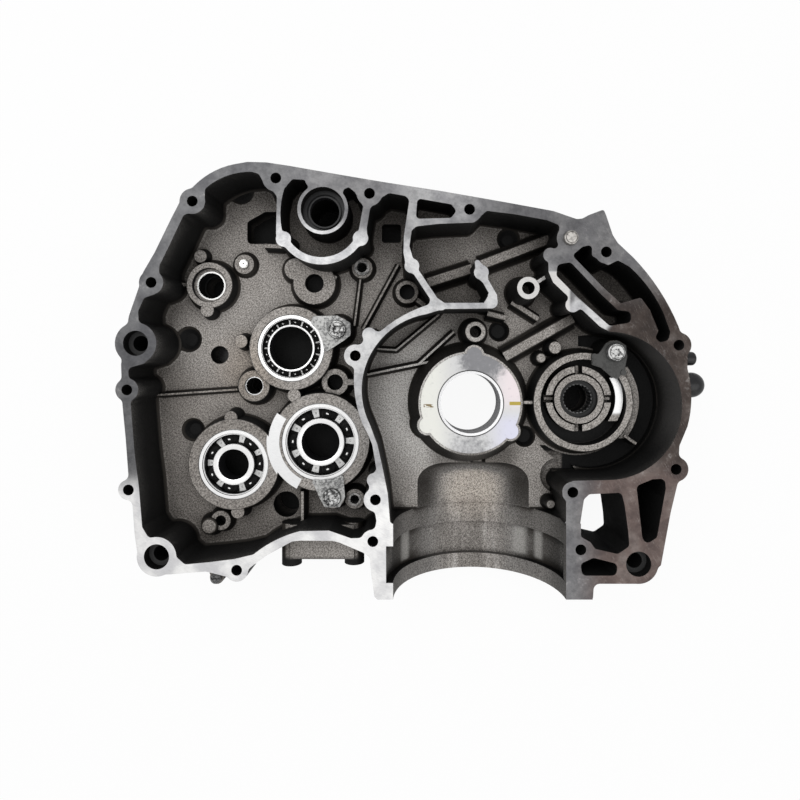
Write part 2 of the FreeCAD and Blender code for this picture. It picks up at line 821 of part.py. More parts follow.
near = size("crescent_inner")
far = size("crescent_outer")
early = size("crescent_from")
late = size("crescent_to")
centre = (early + late) / 2.0
crescent = outline(crescent_point(near, early),
                   (crescent_point(near, centre), crescent_point(near, late)),
                   crescent_point(far, late),
                   (crescent_point(far, centre), crescent_point(far, early)))
raised.append(prism(crescent, FACE, GEAR + 1.0))

# Wall, hub and slotted crown round the balance shaft
hub_x = size("balance_x")
hub_y = size("balance_y")
hub_face = size("balance_face")
ring_x = size("ring_x")
ring_y = size("ring_y")
ring_face = size("ring_face")
raised.append(boss(ring_x, ring_y, size("ring_outer"), ring_face, CRANK, slope=1.6))
step_ring = boss(ring_x, ring_y, 39.8, 26.0, BALANCE, slope=1.6)
step_ring = step_ring.common(box(84.0, 125.0, -24.0, 24.0, 0.0, 60.0))
raised.append(step_ring)
raised.append(boss(*at("balance_screw"), 8.6, ring_face, BALANCE))
raised.append(rib((104.0, -22.0), (112.0, -27.6), 2.4, 25.0, BALANCE, flare=2.0))

# Outside the rim: two feet with a bar below the gearbox, and a small lug
foot_depth = 26.0
feet = [
    box(-119.0, -77.0, -102.6, -80.0, 18.0, 32.0),
    Part.makeCylinder(6.6, 28.0, Vector(-119.5, -108.0, height(foot_depth)), Vector(0, 1, 0)),
    Part.makeCylinder(6.6, 28.0, Vector(-77.4, -107.2, height(foot_depth)), Vector(0, 1, 0)),
    post(*at("lug_screw"), 4.6, 19.0, 31.0),
    prism(outline((-176.0, -103.0), (-160.0, -103.0), (-163.4, -116.6), (-171.0, -118.0)),
          20.0, 30.0),
]
raised.extend(feet)

# Back of the shaft bosses, closed behind each bearing
hubs = [
    post(size("input_x"), size("input_y"), 27.0, BACK - 1, 51.0),
    post(size("output_x"), size("output_y"), 31.0, BACK - 1, 54.0),
    post(size("layshaft_x"), size("layshaft_y"), 28.0, BACK - 1, 53.0),
    post(size("drum_x"), size("drum_y"), 14.0, BACK - 1, 60.0),
    post(size("fork_x"), size("fork_y"), 10.0, BACK - 1, 56.0),
    post(0.0, 0.0, 40.0, BACK - 1, 52.0),
    post(hub_x, hub_y, 20.0, BACK - 1, 56.0),
    post(*at("housing"), 17.0, BACK - 1, 54.0),
    post(*at("oilway"), 12.0, BACK - 1, 60.0),
    post(*at("gallery"), 9.0, BACK - 1, 58.0),
    box(-157.0, -122.0, 104.0, 136.0, BACK - 1, 56.0),
    box(54.0, 128.0, -45.0, 46.0, BACK - 1, 46.0).common(
        post(size("web_x"), size("web_y"), size("web_radius") + 1.0, BACK - 2, 60.0)),
    box(-62.0, -43.0, 97.0, 123.0, BACK - 1, 52.0),
]
for start, end in (
    ((-119.3, 64.0), (-119.3, 146.0)),
    ((-147.0, 36.6), (-214.0, 36.6)),
    ((-186.0, -41.0), (-211.0, -41.0)),
    ((-157.7, -69.0), (-157.7, -99.0)),
    ((-99.7, -57.0), (-99.7, -80.0)),
    ((0.0, 40.0), (0.0, 128.0)),
    ((40.0, 14.0), (120.0, 50.0)),
):
    along = Vector(end[0] - start[0], end[1] - start[1], 0)
    plate = Part.makeBox(along.Length, 5.0, 24.0 - (BACK - 40.0), Vector(0, -2.5, 0))
    turn = math.degrees(math.atan2(along.y, along.x))
    plate.Placement = Placement(Vector(start[0], start[1], height(64.0)),
                                Rotation(Vector(0, 0, 1), turn))
    hubs.append(plate)
raised.extend(hubs)

rough = block
for piece in raised:
    rough = rough.fuse(piece)

# Hollows that open after the raised work: cylinder mouth, balance gear space,
# moulded pits and wells
mouth_bore = barrel(mouth_x, size("mouth_radius"), deck - 2, inner_y + 0.5)
groove = barrel(mouth_x, size("groove_radius"), size("collar_inner_y"), size("groove_inner_y"))
groove = groove.cut(box(57.8, 80.0, -130.0, -80.0, -80.0, 6.0))
rod_cut = barrel(mouth_x, size("rod_radius"), inner_y - 1, size("rod_end_y"))
rod_end = [edge for edge in rod_cut.Edges if edge.BoundBox.YMin > size("rod_end_y") - 0.01]
rod_cut = rod_cut.makeFillet(size("rod_end_round"), rod_end)
gear_space = post(ring_x, ring_y, size("ring_inner"), ring_face - 1, 31.0)
crown = post(hub_x, hub_y, 21.8, 22.0, 32.0).cut(post(hub_x, hub_y, 17.6, 20.0, 33.0))
crown = crown.cut([
    box(hub_x - 2.6, hub_x + 2.6, hub_y - 30, hub_y + 30, 10.0, 29.5),
    box(hub_x - 30, hub_x + 30, hub_y - 2.6, hub_y + 2.6, 10.0, 29.5),
])
hub = post(hub_x, hub_y, size("balance_hub"), hub_face, 32.0)
machined = post(hub_x, hub_y, 30.4, 24.0, 32.0).cut(post(hub_x, hub_y, 25.3, 10.0, 33.0))
machined = machined.common(box(hub_x + 8.0, hub_x + 40.0, hub_y - 15.0, hub_y + 14.0, 0.0, 60.0))
cross = [
    box(hub_x - 0.9, hub_x + 0.9, hub_y + 16.0, hub_y + 22.0, 26.0, 32.0),
    box(hub_x - 0.9, hub_x + 0.9, hub_y - 22.0, hub_y - 16.0, 26.0, 32.0),
    box(hub_x + 16.0, hub_x + 22.0, hub_y - 0.9, hub_y + 0.9, 26.0, 32.0),
    box(hub_x - 22.0, hub_x - 16.0, hub_y - 0.9, hub_y + 0.9, 26.0, 32.0),
]
well = prism(softened(outline((-152.4, 124.0), (-152.4, 108.8), (-133.0, 108.8), (-129.0, 113.0),
                              (-127.2, 131.0), (-140.0, 131.0)), 3.0, 2.0), GEAR - 0.6, 51.0)
oil_well = prism(softened(outline((-59.4, 109.6), (-59.4, 122.4), (-46.2, 122.4),
                                  (-46.2, 109.6)), 2.0, 1.0), GEAR - 1, 48.0)
around = post(size("web_x"), size("web_y"), size("web_radius") - 0.6, CRANK - 1, BALANCE)
around = around.cut([
    post(ring_x, ring_y, size("ring_outer") + 4.4, 0.0, 60.0),
    boss(*at("balance_screw"), 8.6, 10.0, BALANCE + 2),
    box(30.0, 76.0, -30.0, 60.0, 0.0, 60.0),
    step_ring,
])
pit_round = post(62.0, -51.0, 12.2, CRANK - 1, BALANCE + 0.4)
pit_round = pit_round.common(box(40.0, 90.0, -64.0, -30.0, 0.0, 60.0))
pit_round = pit_round.cut([post(62.0, -54.2, 7.0, 0.0, 60.0),
                           box(57.8, 90.0, -80.0, -47.0, 0.0, 60.0)])
pits = [
    dish(-156.6, 145.0, 9.6, GEAR - 0.5, 39.0),
    dish(-192.6, 43.0, 9.6, GEAR - 0.5, 39.2),
    dish(-189.6, -19.4, 8.6, GEAR - 0.5, 39.2),
    dish(28.0, 112.0, 8.6, CRANK - 0.5, 39.2),
    dish(21.4, 48.6, 7.6, CRANK - 0.5, 39.4, 0.6),
    dish(39.0, -24.0, 7.8, CRANK - 0.5, 39.4, 0.6),
    dish(7.0, -41.0, 5.4, CRANK - 0.5, 39.0, 0.6),
]
plug_place = Vector(size("side_plug_x"), size("side_plug_y"), height(size("side_plug_depth")))
plug_seat = [
    Part.makeCylinder(size("side_plug_radius"), 8.0, plug_place, Vector(1, 0, 0)),
    Part.makeCylinder(size("side_plug_stub"), size("side_plug_stub_length"), plug_place,
                      Vector(-1, 0, 0)),
]
rough = rough.cut([mouth_bore, groove, rod_cut, gear_space, well, oil_well, around, pit_round]
                  + pits + plug_seat)
rough = rough.fuse([crown, hub, machined] + cross)
bores_under = [
    post(0.0, 0.0, 27.0, 17.0, DEPTH),
    post(*at("housing"), 10.5, 0.0, 46.0),
]
rough = rough.cut(bores_under)
casting_raw = doc.addObject("Part::Feature", "casting_raw")
casting_raw.Shape = rough.Solids[0] if len(rough.Solids) == 1 else max(
    rough.Solids, key=lambda solid: solid.Volume)
print("casting solids", len(rough.Solids), "volume", round(casting_raw.Shape.Volume))

# Machined holes: place, radius, and the depths they run between
HOLES = [
    ("input_seat", "input_x", "input_y", "input_outer", FACE, FACE + size("input_width")),
    ("output_seat", "output_x", "output_y", "output_outer", FACE, FACE + size("output_width")),
    ("layshaft_seat", "layshaft_x", "layshaft_y", "layshaft_outer", FACE,
     FACE + size("layshaft_width")),
    ("balance_seat", "balance_x", "balance_y", "balance_bore", hub_face,
     hub_face + 2.0 + size("cup_length")),
    ("insert_seat", 0.0, 0.0, "insert_radius", SPLIT, SPLIT + size("insert_length")),
    ("drum_seat", "drum_x", "drum_y", "drum_bush_outer", 30.0, 30.0 + size("drum_bush_length")),
    ("fork_seat", "fork_x", "fork_y", "fork_sleeve_outer", 26.0,
     27.5 + size("fork_sleeve_length")),
    ("input_relief", "input_x", "input_y", 17.5, 33.0, 46.0),
    ("output_relief", "output_x", "output_y", 20.5, 36.0, 49.0),
    ("layshaft_relief", "layshaft_x", "layshaft_y", 18.0, 35.0, 48.0),
    ("balance_relief", "balance_x", "balance_y", 9.6, 35.0, 50.0),
    ("drum_counterbore", "drum_x", "drum_y", 11.7, 20.0, 30.0),
    ("drum_relief", "drum_x", "drum_y", 7.6, 40.0, 56.0),
    ("fork_relief", "fork_x", "fork_y", 5.0, 40.0, 52.0),
    ("idle_boss_hole", "idle_x", "idle_y", 5.4, 24.0, 39.0),
    ("housing_counterbore", "housing_x", "housing_y", 13.8, -1.0, 13.0),
    ("jet_hole", "jet_x", "jet_y", 2.4, 29.0, 39.0),
    ("pad_hole", "pit_pad_x", "pit_pad_y", 6.4, 27.0, 38.6),
    ("sleeve_hole", "breather_x", "breather_y", 5.2, 28.0, 39.0),
    ("hollow_hole", "funnel_x", "funnel_y", 5.3, 29.0, 39.0),
    ("dark_hole", "gallery_x", "gallery_y", 6.2, 34.0, 54.0),
    ("big_dark_hole", "oilway_x", "oilway_y", 8.9, 30.0, 56.0),
    ("tube_hole", "tube_x", "tube_y", 4.3, 25.0, 39.0),
    ("drain_hole", "drain_x", "drain_y", 3.6, 28.0, 38.6),
    ("crown_hole", "crown_x", "crown_y", 4.0, 16.0, 34.0),
    ("tall_boss_hole", "tall_x", "tall_y", 4.1, 7.0, 24.0),
    ("pin_hole", "pin_x", "pin_y", "pin_radius", -1.0, size("pin_length") + 1.0),
    ("input_screw_hole", "input_screw_x", "input_screw_y", "screw_shank", 20.0, 33.0),
    ("output_screw_hole", "output_screw_x", "output_screw_y", "screw_shank", 20.0, 33.0),
    ("balance_screw_hole", "balance_screw_x", "balance_screw_y", "screw_shank", 18.0, 32.0),
    ("lug_screw_hole", "lug_screw_x", "lug_screw_y", 2.2, 18.0, 28.0),
]
for number in range(len(RIM_BOLTS)):
    name = "bolt%02d" % number
    HOLES.append((name, name + "_x", name + "_y", "rim_thread", -1.0, size("rim_thread_depth")))
for number in range(len(DOWELS)):
    name = "dowel%02d" % number
    HOLES.append((name + "_seat", name + "_x", name + "_y", "dowel_radius", -1.0,
                  size("dowel_depth")))
    HOLES.append((name + "_hole", name + "_x", name + "_y", "dowel_hole", 0.0, 42.0))


def drive(item, path, value):
    """Bind one property to a sheet alias, or set it when it is a plain number."""
    if isinstance(value, str):
        item.setExpression(path, "sizes." + value)
        return
    item.setExpression(path, "%.6g" % value)


tools = []
for name, x, y, radius, top, bottom in HOLES:
    hole = doc.addObject("Part::Cylinder", name)
    drive(hole, "Radius", radius)
    hole.Height = bottom - top
    drive(hole, "Placement.Base.x", x)
    drive(hole, "Placement.Base.y", y)
    hole.setExpression("Placement.Base.z", "sizes.split_height - %.6g" % bottom)
    tools.append(hole)
tool_set = doc.addObject("Part::MultiFuse", "machined_holes")
tool_set.Shapes = tools
casting = doc.addObject("Part::Cut", "crankcase_half_casting")
casting.Label = "crankcase_casting"
casting.Base = casting_raw
casting.Tool = tool_set
nodes = [casting]


def feature(label, shape, base=(0.0, 0.0, 0.0)):
    """Sub-part whose shape is made in its own frame and then placed."""
    item = doc.addObject("Part::Feature", label)
    item.Label = label
    item.Shape = shape
    item.Placement = Placement(Vector(*base), Rotation())
    nodes.append(item)
    return item


def place(item, x, y, depth):
    """Bind a sub-part's place to the sheet; depth is below the split face."""
    drive(item, "Placement.Base.x", x)
    drive(item, "Placement.Base.y", y)
    item.setExpression("Placement.Base.z", "sizes.split_height - %s" % depth)


def cylinder(name, radius, length, start="0"):
    """Cylinder along Z whose radius, length and start are sheet expressions."""
    item = doc.addObject("Part::Cylinder", name)
    item.setExpression("Radius", radius)
    item.setExpression("Height", length)
    item.setExpression("Placement.Base.z", start)
    return item


# Crankshaft bearing: cast-in steel insert with three lugs, and two plain half shells
insert_body = cylinder("insert_body", "sizes.insert_radius", "sizes.insert_length",
                       "-sizes.insert_length")
insert_parts = [insert_body]
for number, angle in enumerate(LUG_ANGLES):
    lug = cylinder("insert_lug_%d" % number, "sizes.lug_radius", "sizes.insert_length",
                   "-sizes.insert_length")
    lug.setExpression("Placement.Base.x", "sizes.lug_circle * cos(%.4g deg)" % angle)
    lug.setExpression("Placement.Base.y", "sizes.lug_circle * sin(%.4g deg)" % angle)
    insert_parts.append(lug)
    tools.append(lug)
tool_set.Shapes = tools
insert_solid = doc.addObject("Part::MultiFuse", "insert_solid")
insert_solid.Shapes = insert_parts
insert_bore = cylinder("insert_bore", "sizes.shell_outer", "sizes.insert_length + 4",
                       "-sizes.insert_length - 2")
crank_insert = doc.addObject("Part::Cut", "crank_bearing_insert")
crank_insert.Base = insert_solid
crank_insert.Tool = insert_bore
nodes.append(crank_insert)
for side, label in ((1, "crank_shell_upper"), (-1, "crank_shell_lower")):
    shell_out = cylinder(label + "_outside", "sizes.shell_outer", "sizes.shell_length",
                         "-sizes.shell_length")
    shell_out.Angle = 180.0
    shell_in = cylinder(label + "_inside", "sizes.shell_outer - sizes.shell_wall",
                        "sizes.shell_length + 4", "-sizes.shell_length - 2")
    shell = doc.addObject("Part::Cut", label)
    shell.Base = shell_out
    shell.Tool = shell_in
    if side < 0:
        shell.Placement = Placement(Vector(0, 0, 0), Rotation(Vector(0, 0, 1), 180))
    nodes.append(shell)


def ring_race(label, key, outer, inner):
    """Bearing ring with a ball groove, its open face at its own origin."""
    body = cylinder(label + "_body", outer, "sizes.%s_width" % key, "-sizes.%s_width" % key)
    hollow = cylinder(label + "_hollow", inner, "sizes.%s_width + 4" % key,
                      "-sizes.%s_width - 2" % key)
    groove_ring = doc.addObject("Part::Torus", label + "_groove")
    groove_ring.setExpression("Radius1", "sizes.%s_pitch" % key)
    groove_ring.setExpression("Radius2", "sizes.%s_ball + sizes.ball_play" % key)
    groove_ring.setExpression("Placement.Base.z", "-sizes.%s_width / 2" % key)
    both = doc.addObject("Part::MultiFuse", label + "_removed")
    both.Shapes = [hollow, groove_ring]
    ring = doc.addObject("Part::Cut", label)
    ring.Base = body
    ring.Tool = both
    place(ring, key + "_x", key + "_y", "sizes.bearing_face")
    nodes.append(ring)
    return ring


# Balls in each bearing, and the place of the first one in ball spacings
BALLS = {"input": (13, 0.0), "output": (7, 0.5), "layshaft": (7, 0.0)}
for key, (count, first) in BALLS.items():
    track_in = "(sizes.%s_pitch - sizes.%s_ball * 0.78)" % (key, key)
    track_out = "(sizes.%s_pitch + sizes.%s_ball * 0.78)" % (key, key)
    ring_race(key + "_outer_ring", key, "sizes.%s_outer" % key, track_out)
    ring_race(key + "_inner_ring", key, track_in, "sizes.%s_bore" % key)
    spheres = []
    for number in range(count):
        turn = 360.0 * (number + first) / count
        ball = doc.addObject("Part::Sphere", "%s_ball_%02d" % (key, number))
        ball.setExpression("Radius", "sizes.%s_ball" % key)
        ball.setExpression("Placement.Base.x", "sizes.%s_pitch * cos(%.6g deg)" % (key, turn))
        ball.setExpression("Placement.Base.y", "sizes.%s_pitch * sin(%.6g deg)" % (key, turn))
        ball.setExpression("Placement.Base.z", "-sizes.%s_width / 2" % key)
        spheres.append(ball)
    balls = doc.addObject("Part::Compound", key + "_balls")
    balls.Links = spheres
    place(balls, key + "_x", key + "_y", "sizes.bearing_face")
    nodes.append(balls)
    doc.recompute()
    pitch = size(key + "_pitch")
    ball_radius = size(key + "_ball")
    half = size(key + "_width") / 2.0
    band = ball_radius * 0.55
    cage = Part.makeCylinder(pitch + band, ball_radius * 1.5,
                             Vector(0, 0, -half - ball_radius * 0.75))
    cage = cage.cut(Part.makeCylinder(pitch - band, ball_radius * 3,
                                      Vector(0, 0, -half - ball_radius * 1.5)))
    seats = []
    for number in range(count):
        turn = 2 * math.pi * (number + first) / count
        middle = Vector(pitch * math.cos(turn), pitch * math.sin(turn), -half)
        seats.append(Part.makeSphere(ball_radius + 0.12, middle))
    cage = cage.cut(seats)
    lips = []
    for number in range(count):
        turn = 2 * math.pi * (number + first + 0.5) / count
        middle = Vector(pitch * math.cos(turn), pitch * math.sin(turn),
                        -half + ball_radius * 0.7)
        lips.append(Part.makeCylinder(band * 0.42, ball_radius * 0.16 + 0.3, middle))
    cage = cage.fuse(lips)
    item = feature(key + "_cage", cage)
    place(item, key + "_x", key + "_y", "sizes.bearing_face")

# Needle bearing of the balance shaft
cup_r = size("balance_bore")
cup_wall = size("cup_wall")
cup_length = size("cup_length")
cup = Part.makeCylinder(cup_r, cup_length, Vector(0, 0, -cup_length))
cup = cup.cut([
    Part.makeCylinder(cup_r - cup_wall, cup_length - 2.0, Vector(0, 0, -cup_length + 1.0)),
    Part.makeCylinder(cup_r - cup_wall - 1.2, cup_length + 2.0, Vector(0, 0, -cup_length - 1.0)),
])
cup_item = feature("balance_bearing_cup", cup)
place(cup_item, "balance_x", "balance_y", "(sizes.balance_face + 2)")
needle_r = size("needle_radius")
needle_length = size("needle_length")
needle_pitch = cup_r - cup_wall - needle_r - 0.05
needle_count = 24
needles = []
windows = []
for number in range(needle_count):
    turn = 2 * math.pi * number / needle_count
    foot = Vector(needle_pitch * math.cos(turn), needle_pitch * math.sin(turn),
                -cup_length / 2 - needle_length / 2)
    needles.append(Part.makeCylinder(needle_r, needle_length, foot))
    windows.append(Part.makeCylinder(needle_r + 0.1, needle_length + 0.2,
                                     foot - Vector(0, 0, 0.1)))
needle_item = feature("balance_needles", Part.makeCompound(needles))
place(needle_item, "balance_x", "balance_y", "(sizes.balance_face + 2)")
cage_length = cup_length - 2.4
cage = Part.makeCylinder(needle_pitch + 0.5, cage_length, Vector(0, 0, -cup_length + 1.2))
cage = cage.cut([Part.makeCylinder(needle_pitch - 0.45, cup_length, Vector(0, 0, -cup_length))])
cage = cage.cut(windows)
cage_item = feature("balance_needle_cage", cage)
place(cage_item, "balance_x", "balance_y", "(sizes.balance_face + 2)")


def bush(label, key, outer, inner, length, depth):
    """Plain sleeve pressed in a bore, with its mouth at its own origin."""
    outside = cylinder(label + "_outside", "sizes." + outer, "sizes." + length,
                       "-sizes." + length)
    inside_cut = cylinder(label + "_inside", "sizes." + inner, "sizes.%s + 4" % length,
                          "-sizes.%s - 2" % length)
    item = doc.addObject("Part::Cut", label)
    item.Base = outside
    item.Tool = inside_cut
    place(item, key + "_x", key + "_y", depth)
    nodes.append(item)


bush("selector_drum_bush", "drum", "drum_bush_outer", "drum_bush_inner", "drum_bush_length", "30")
bush("fork_shaft_sleeve", "fork", "fork_sleeve_outer", "fork_sleeve_inner",
     "fork_sleeve_length", "27.5")

# Retainer plates over the bearings, each held by one screw
thickness = size("plate_thickness")


def plate(label, face, hole, depth, dots):
    """Flat retainer with a screw hole and two punched studs."""
    flat = softened(face, 1.2, 1.2)
    flat = biggest(flat.cut([disc(hole[0], hole[1], size("screw_shank") + 0.2)]))
    solid = prism(flat, depth - thickness, depth)
    for dot_x, dot_y, dot_r in dots:
        solid = solid.fuse(post(dot_x, dot_y, dot_r, depth - thickness - 0.6, depth - 0.2))
    feature(label, solid)


plate("input_retainer",
      outline((-105.9, 53.2), (-104.4, 57.8), (-88.4, 58.2), (-79.6, 53.4), (-79.6, 45.0),
              (-84.0, 41.6), (-96.4, 33.6), (-98.0, 40.0), (-100.6, 47.4)),
      at("input_screw"), FACE, [(-103.0, 56.0, 1.4), (-96.0, 36.4, 1.2)])
plate("output_retainer",
      outline((-105.4, -50.6), (-99.8, -51.2), (-92.0, -50.2), (-84.4, -47.4), (-83.2, -62.0),
              (-86.6, -69.0), (-96.6, -69.0), (-99.8, -63.4)),
      at("output_screw"), FACE, [(-103.6, -52.6, 1.1), (-85.8, -50.6, 1.1)])
plate("balance_retainer",
      outline((79.8, 33.0), (84.4, 32.6), (89.6, 40.0), (96.6, 41.8), (102.6, 38.4),
              (103.4, 31.0), (101.6, 21.4), (97.0, 16.0), (92.6, 17.8), (86.0, 23.6),
              (80.0, 25.6)),
      at("balance_screw"), ring_face, [(81.6, 31.2, 1.8), (81.6, 27.4, 1.3), (100.8, 20.4, 1.8)])

head = size("screw_head")
shank = size("screw_shank")
screws = []
for name, depth in (("input_screw", FACE), ("output_screw", FACE), ("balance_screw", ring_face)):
    x, y = at(name)
    top = depth - thickness
    body = post(x, y, head, top - 3.6, top)
    crown_edges = [edge for edge in body.Edges if edge.BoundBox.ZMin > height(top - 3.5)]
    body = body.makeFillet(1.1, crown_edges)
    body = body.fuse(post(x, y, shank, top - 0.5, top + size("screw_length")))
    socket = Part.Face(Part.makePolygon([
        Vector(x + 2.7 * math.cos(math.radians(60 * corner)),
               y + 2.7 * math.sin(math.radians(60 * corner)), 0)
        for corner in range(7)
    ]))
    screws.append(body.cut(prism(socket, top - 4.0, top - 1.4)))
feature("retainer_screws", Part.makeCompound(screws))

# Small fittings
pin = post(*at("pin"), size("pin_radius"), -3.0, size("pin_length"))
pin = pin.cut(post(*at("pin"), 2.0, -4.0, 6.0))
tip_edges = [edge for edge in pin.Edges
             if edge.BoundBox.ZMin > height(-2.9) and edge.BoundBox.XLength > 8.0]
feature("locating_pin", pin.makeChamfer(1.2, tip_edges))

jet = post(*at("jet"), 2.4, 28.6, 37.0).fuse(post(*at("jet"), 3.2, 28.2, 30.5))
feature("oil_jet", jet.cut(post(*at("jet"), 0.9, 27.0, 38.0)))

tube = post(*at("breather"), 5.2, 27.4, 38.0).cut(post(*at("breather"), 3.4, 26.0, 39.0))
feature("breather_tube", tube)

insert_ring = post(*at("tube"), 4.3, 25.0, 38.0).cut(post(*at("tube"), 3.0, 24.0, 39.0))
feature("return_tube", insert_ring)

seal = post(*at("housing"), 13.8, 8.0, 13.0).cut(post(*at("housing"), 9.4, 7.0, 14.0))
seal = seal.cut(Part.makeCone(12.6, 11.4, 2.4, Vector(*at("housing"), height(8.0 + 2.4))).cut(
    post(*at("housing"), 10.4, 0.0, 20.0)))
feature("selector_seal", seal)

plug_low = post(*at("gallery"), 6.2, 50.0, 54.0)
feature("gallery_plug", plug_low)

lug_screw = post(*at("lug_screw"), 3.4, 16.2, 19.0).fuse(post(*at("lug_screw"), 2.2, 18.6, 27.5))
feature("lug_screw", lug_screw.cut(box(-170.5, -164.9, -115.3, -114.3, 15.0, 17.2)))

# Moulded plug on the right-hand side, set in the wall
plug_z = height(size("side_plug_depth"))
plug_r = size("side_plug_radius")
reach = size("side_plug_reach")
wall_x = size("side_plug_x")
stub = size("side_plug_stub")
stub_x = wall_x - size("side_plug_stub_length")
profile = [
    Vector(stub_x, 0, 0),
    Vector(stub_x, stub, 0),
    Vector(wall_x, stub, 0),
    Vector(wall_x, plug_r, 0),
    Vector(wall_x + reach - 9.0, plug_r, 0),
]
nose = Vector(wall_x + reach, 2.0, 0)
tip = Vector(wall_x + reach, 0, 0)
swell = Vector(wall_x + reach - 9.0 * (1 - math.sqrt(0.5)),
               2.0 + (plug_r - 2.0) * math.sqrt(0.5), 0)
edges = [Part.LineSegment(profile[i], profile[i + 1]).toShape() for i in range(4)]
edges.append(Part.Arc(profile[4], swell, nose).toShape())
edges.append(Part.LineSegment(nose, tip).toShape())
edges.append(Part.LineSegment(tip, profile[0]).toShape())
knob = Part.Face(Part.Wire(edges)).revolve(Vector(0, 0, 0), Vector(1, 0, 0), 360)
feature("side_plug", knob, (0.0, size("side_plug_y"), plug_z))
clip = Part.makeCylinder(4.6, 15.0, Vector(135.6, 29.6, plug_z), Vector(1, 0, 0))
clip = clip.makeFillet(2.2, [edge for edge in clip.Edges if edge.BoundBox.XMin > 150.0])
feature("cable_clip", clip)

doc.recompute()
holes_after = casting.Shape
print("casting after holes", len(holes_after.Solids), round(holes_after.Volume))

# Check every object, then write one file for each piece
for item in doc.Objects:
    if "Invalid" in item.State or "Error" in item.State:
        raise RuntimeError("failed: " + item.Label)
os.makedirs("parts", exist_ok=True)
for item in nodes:
    if item.Shape.isNull() or not item.Shape.isValid():
        raise RuntimeError("bad shape: " + item.Label)
    item.Shape.exportStep("parts/%s.step" % item.Label)
print("pieces", len(nodes))
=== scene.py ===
"""Looks of the crankcase half.

Finishes, detailed fittings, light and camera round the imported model.
"""

from __future__ import annotations

import logging
import math
from dataclasses import dataclass
from enum import Enum
from typing import Any, Sequence

import bmesh
import bpy
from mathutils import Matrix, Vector

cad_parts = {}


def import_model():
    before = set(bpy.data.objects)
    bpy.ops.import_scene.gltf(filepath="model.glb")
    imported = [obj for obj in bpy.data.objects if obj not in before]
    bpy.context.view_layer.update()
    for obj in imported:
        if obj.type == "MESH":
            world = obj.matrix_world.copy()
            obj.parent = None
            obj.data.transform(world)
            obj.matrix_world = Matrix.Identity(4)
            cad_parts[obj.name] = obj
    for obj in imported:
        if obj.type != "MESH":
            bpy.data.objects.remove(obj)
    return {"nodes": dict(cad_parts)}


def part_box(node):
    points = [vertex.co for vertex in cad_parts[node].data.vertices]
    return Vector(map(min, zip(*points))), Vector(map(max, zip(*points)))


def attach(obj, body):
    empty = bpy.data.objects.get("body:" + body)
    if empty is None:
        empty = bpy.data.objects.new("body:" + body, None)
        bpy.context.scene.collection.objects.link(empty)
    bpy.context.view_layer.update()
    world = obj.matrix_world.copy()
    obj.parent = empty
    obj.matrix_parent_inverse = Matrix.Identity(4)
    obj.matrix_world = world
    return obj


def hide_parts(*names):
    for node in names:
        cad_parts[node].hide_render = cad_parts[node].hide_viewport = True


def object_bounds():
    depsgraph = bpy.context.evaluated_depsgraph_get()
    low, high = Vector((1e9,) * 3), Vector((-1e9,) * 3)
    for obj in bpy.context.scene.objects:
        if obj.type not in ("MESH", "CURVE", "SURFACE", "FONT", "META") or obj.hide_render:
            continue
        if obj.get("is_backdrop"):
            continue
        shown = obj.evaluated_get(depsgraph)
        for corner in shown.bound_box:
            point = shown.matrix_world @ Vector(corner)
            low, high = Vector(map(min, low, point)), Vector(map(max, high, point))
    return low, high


MM = 0.001
LOG = logging.getLogger("crankcase")
LAND = "land"
# Name of the layer that marks a cage's bright lands and its painted highlights.
"""Name of the layer that marks a cage's bright spots."""
MERGE = 1e-6
"""Distance in metres below which turned corners are joined."""
TINY = 1e-7
"""Length in metres that counts as none."""
TRACK_SHARE = 0.78
"""Reach of a ring's land from the circle of balls, in ball radii."""
BALL_FACETS = 28
"""Facets of a cage for each of its balls."""

Colour = tuple[float, float, float]


def grey(level: float) -> Colour:
    """Neutral colour of one level."""
    return (level, level, level)


class Side(Enum):
    """Half of a bearing cage."""

    UPPER = 1.0
    LOWER = -1.0


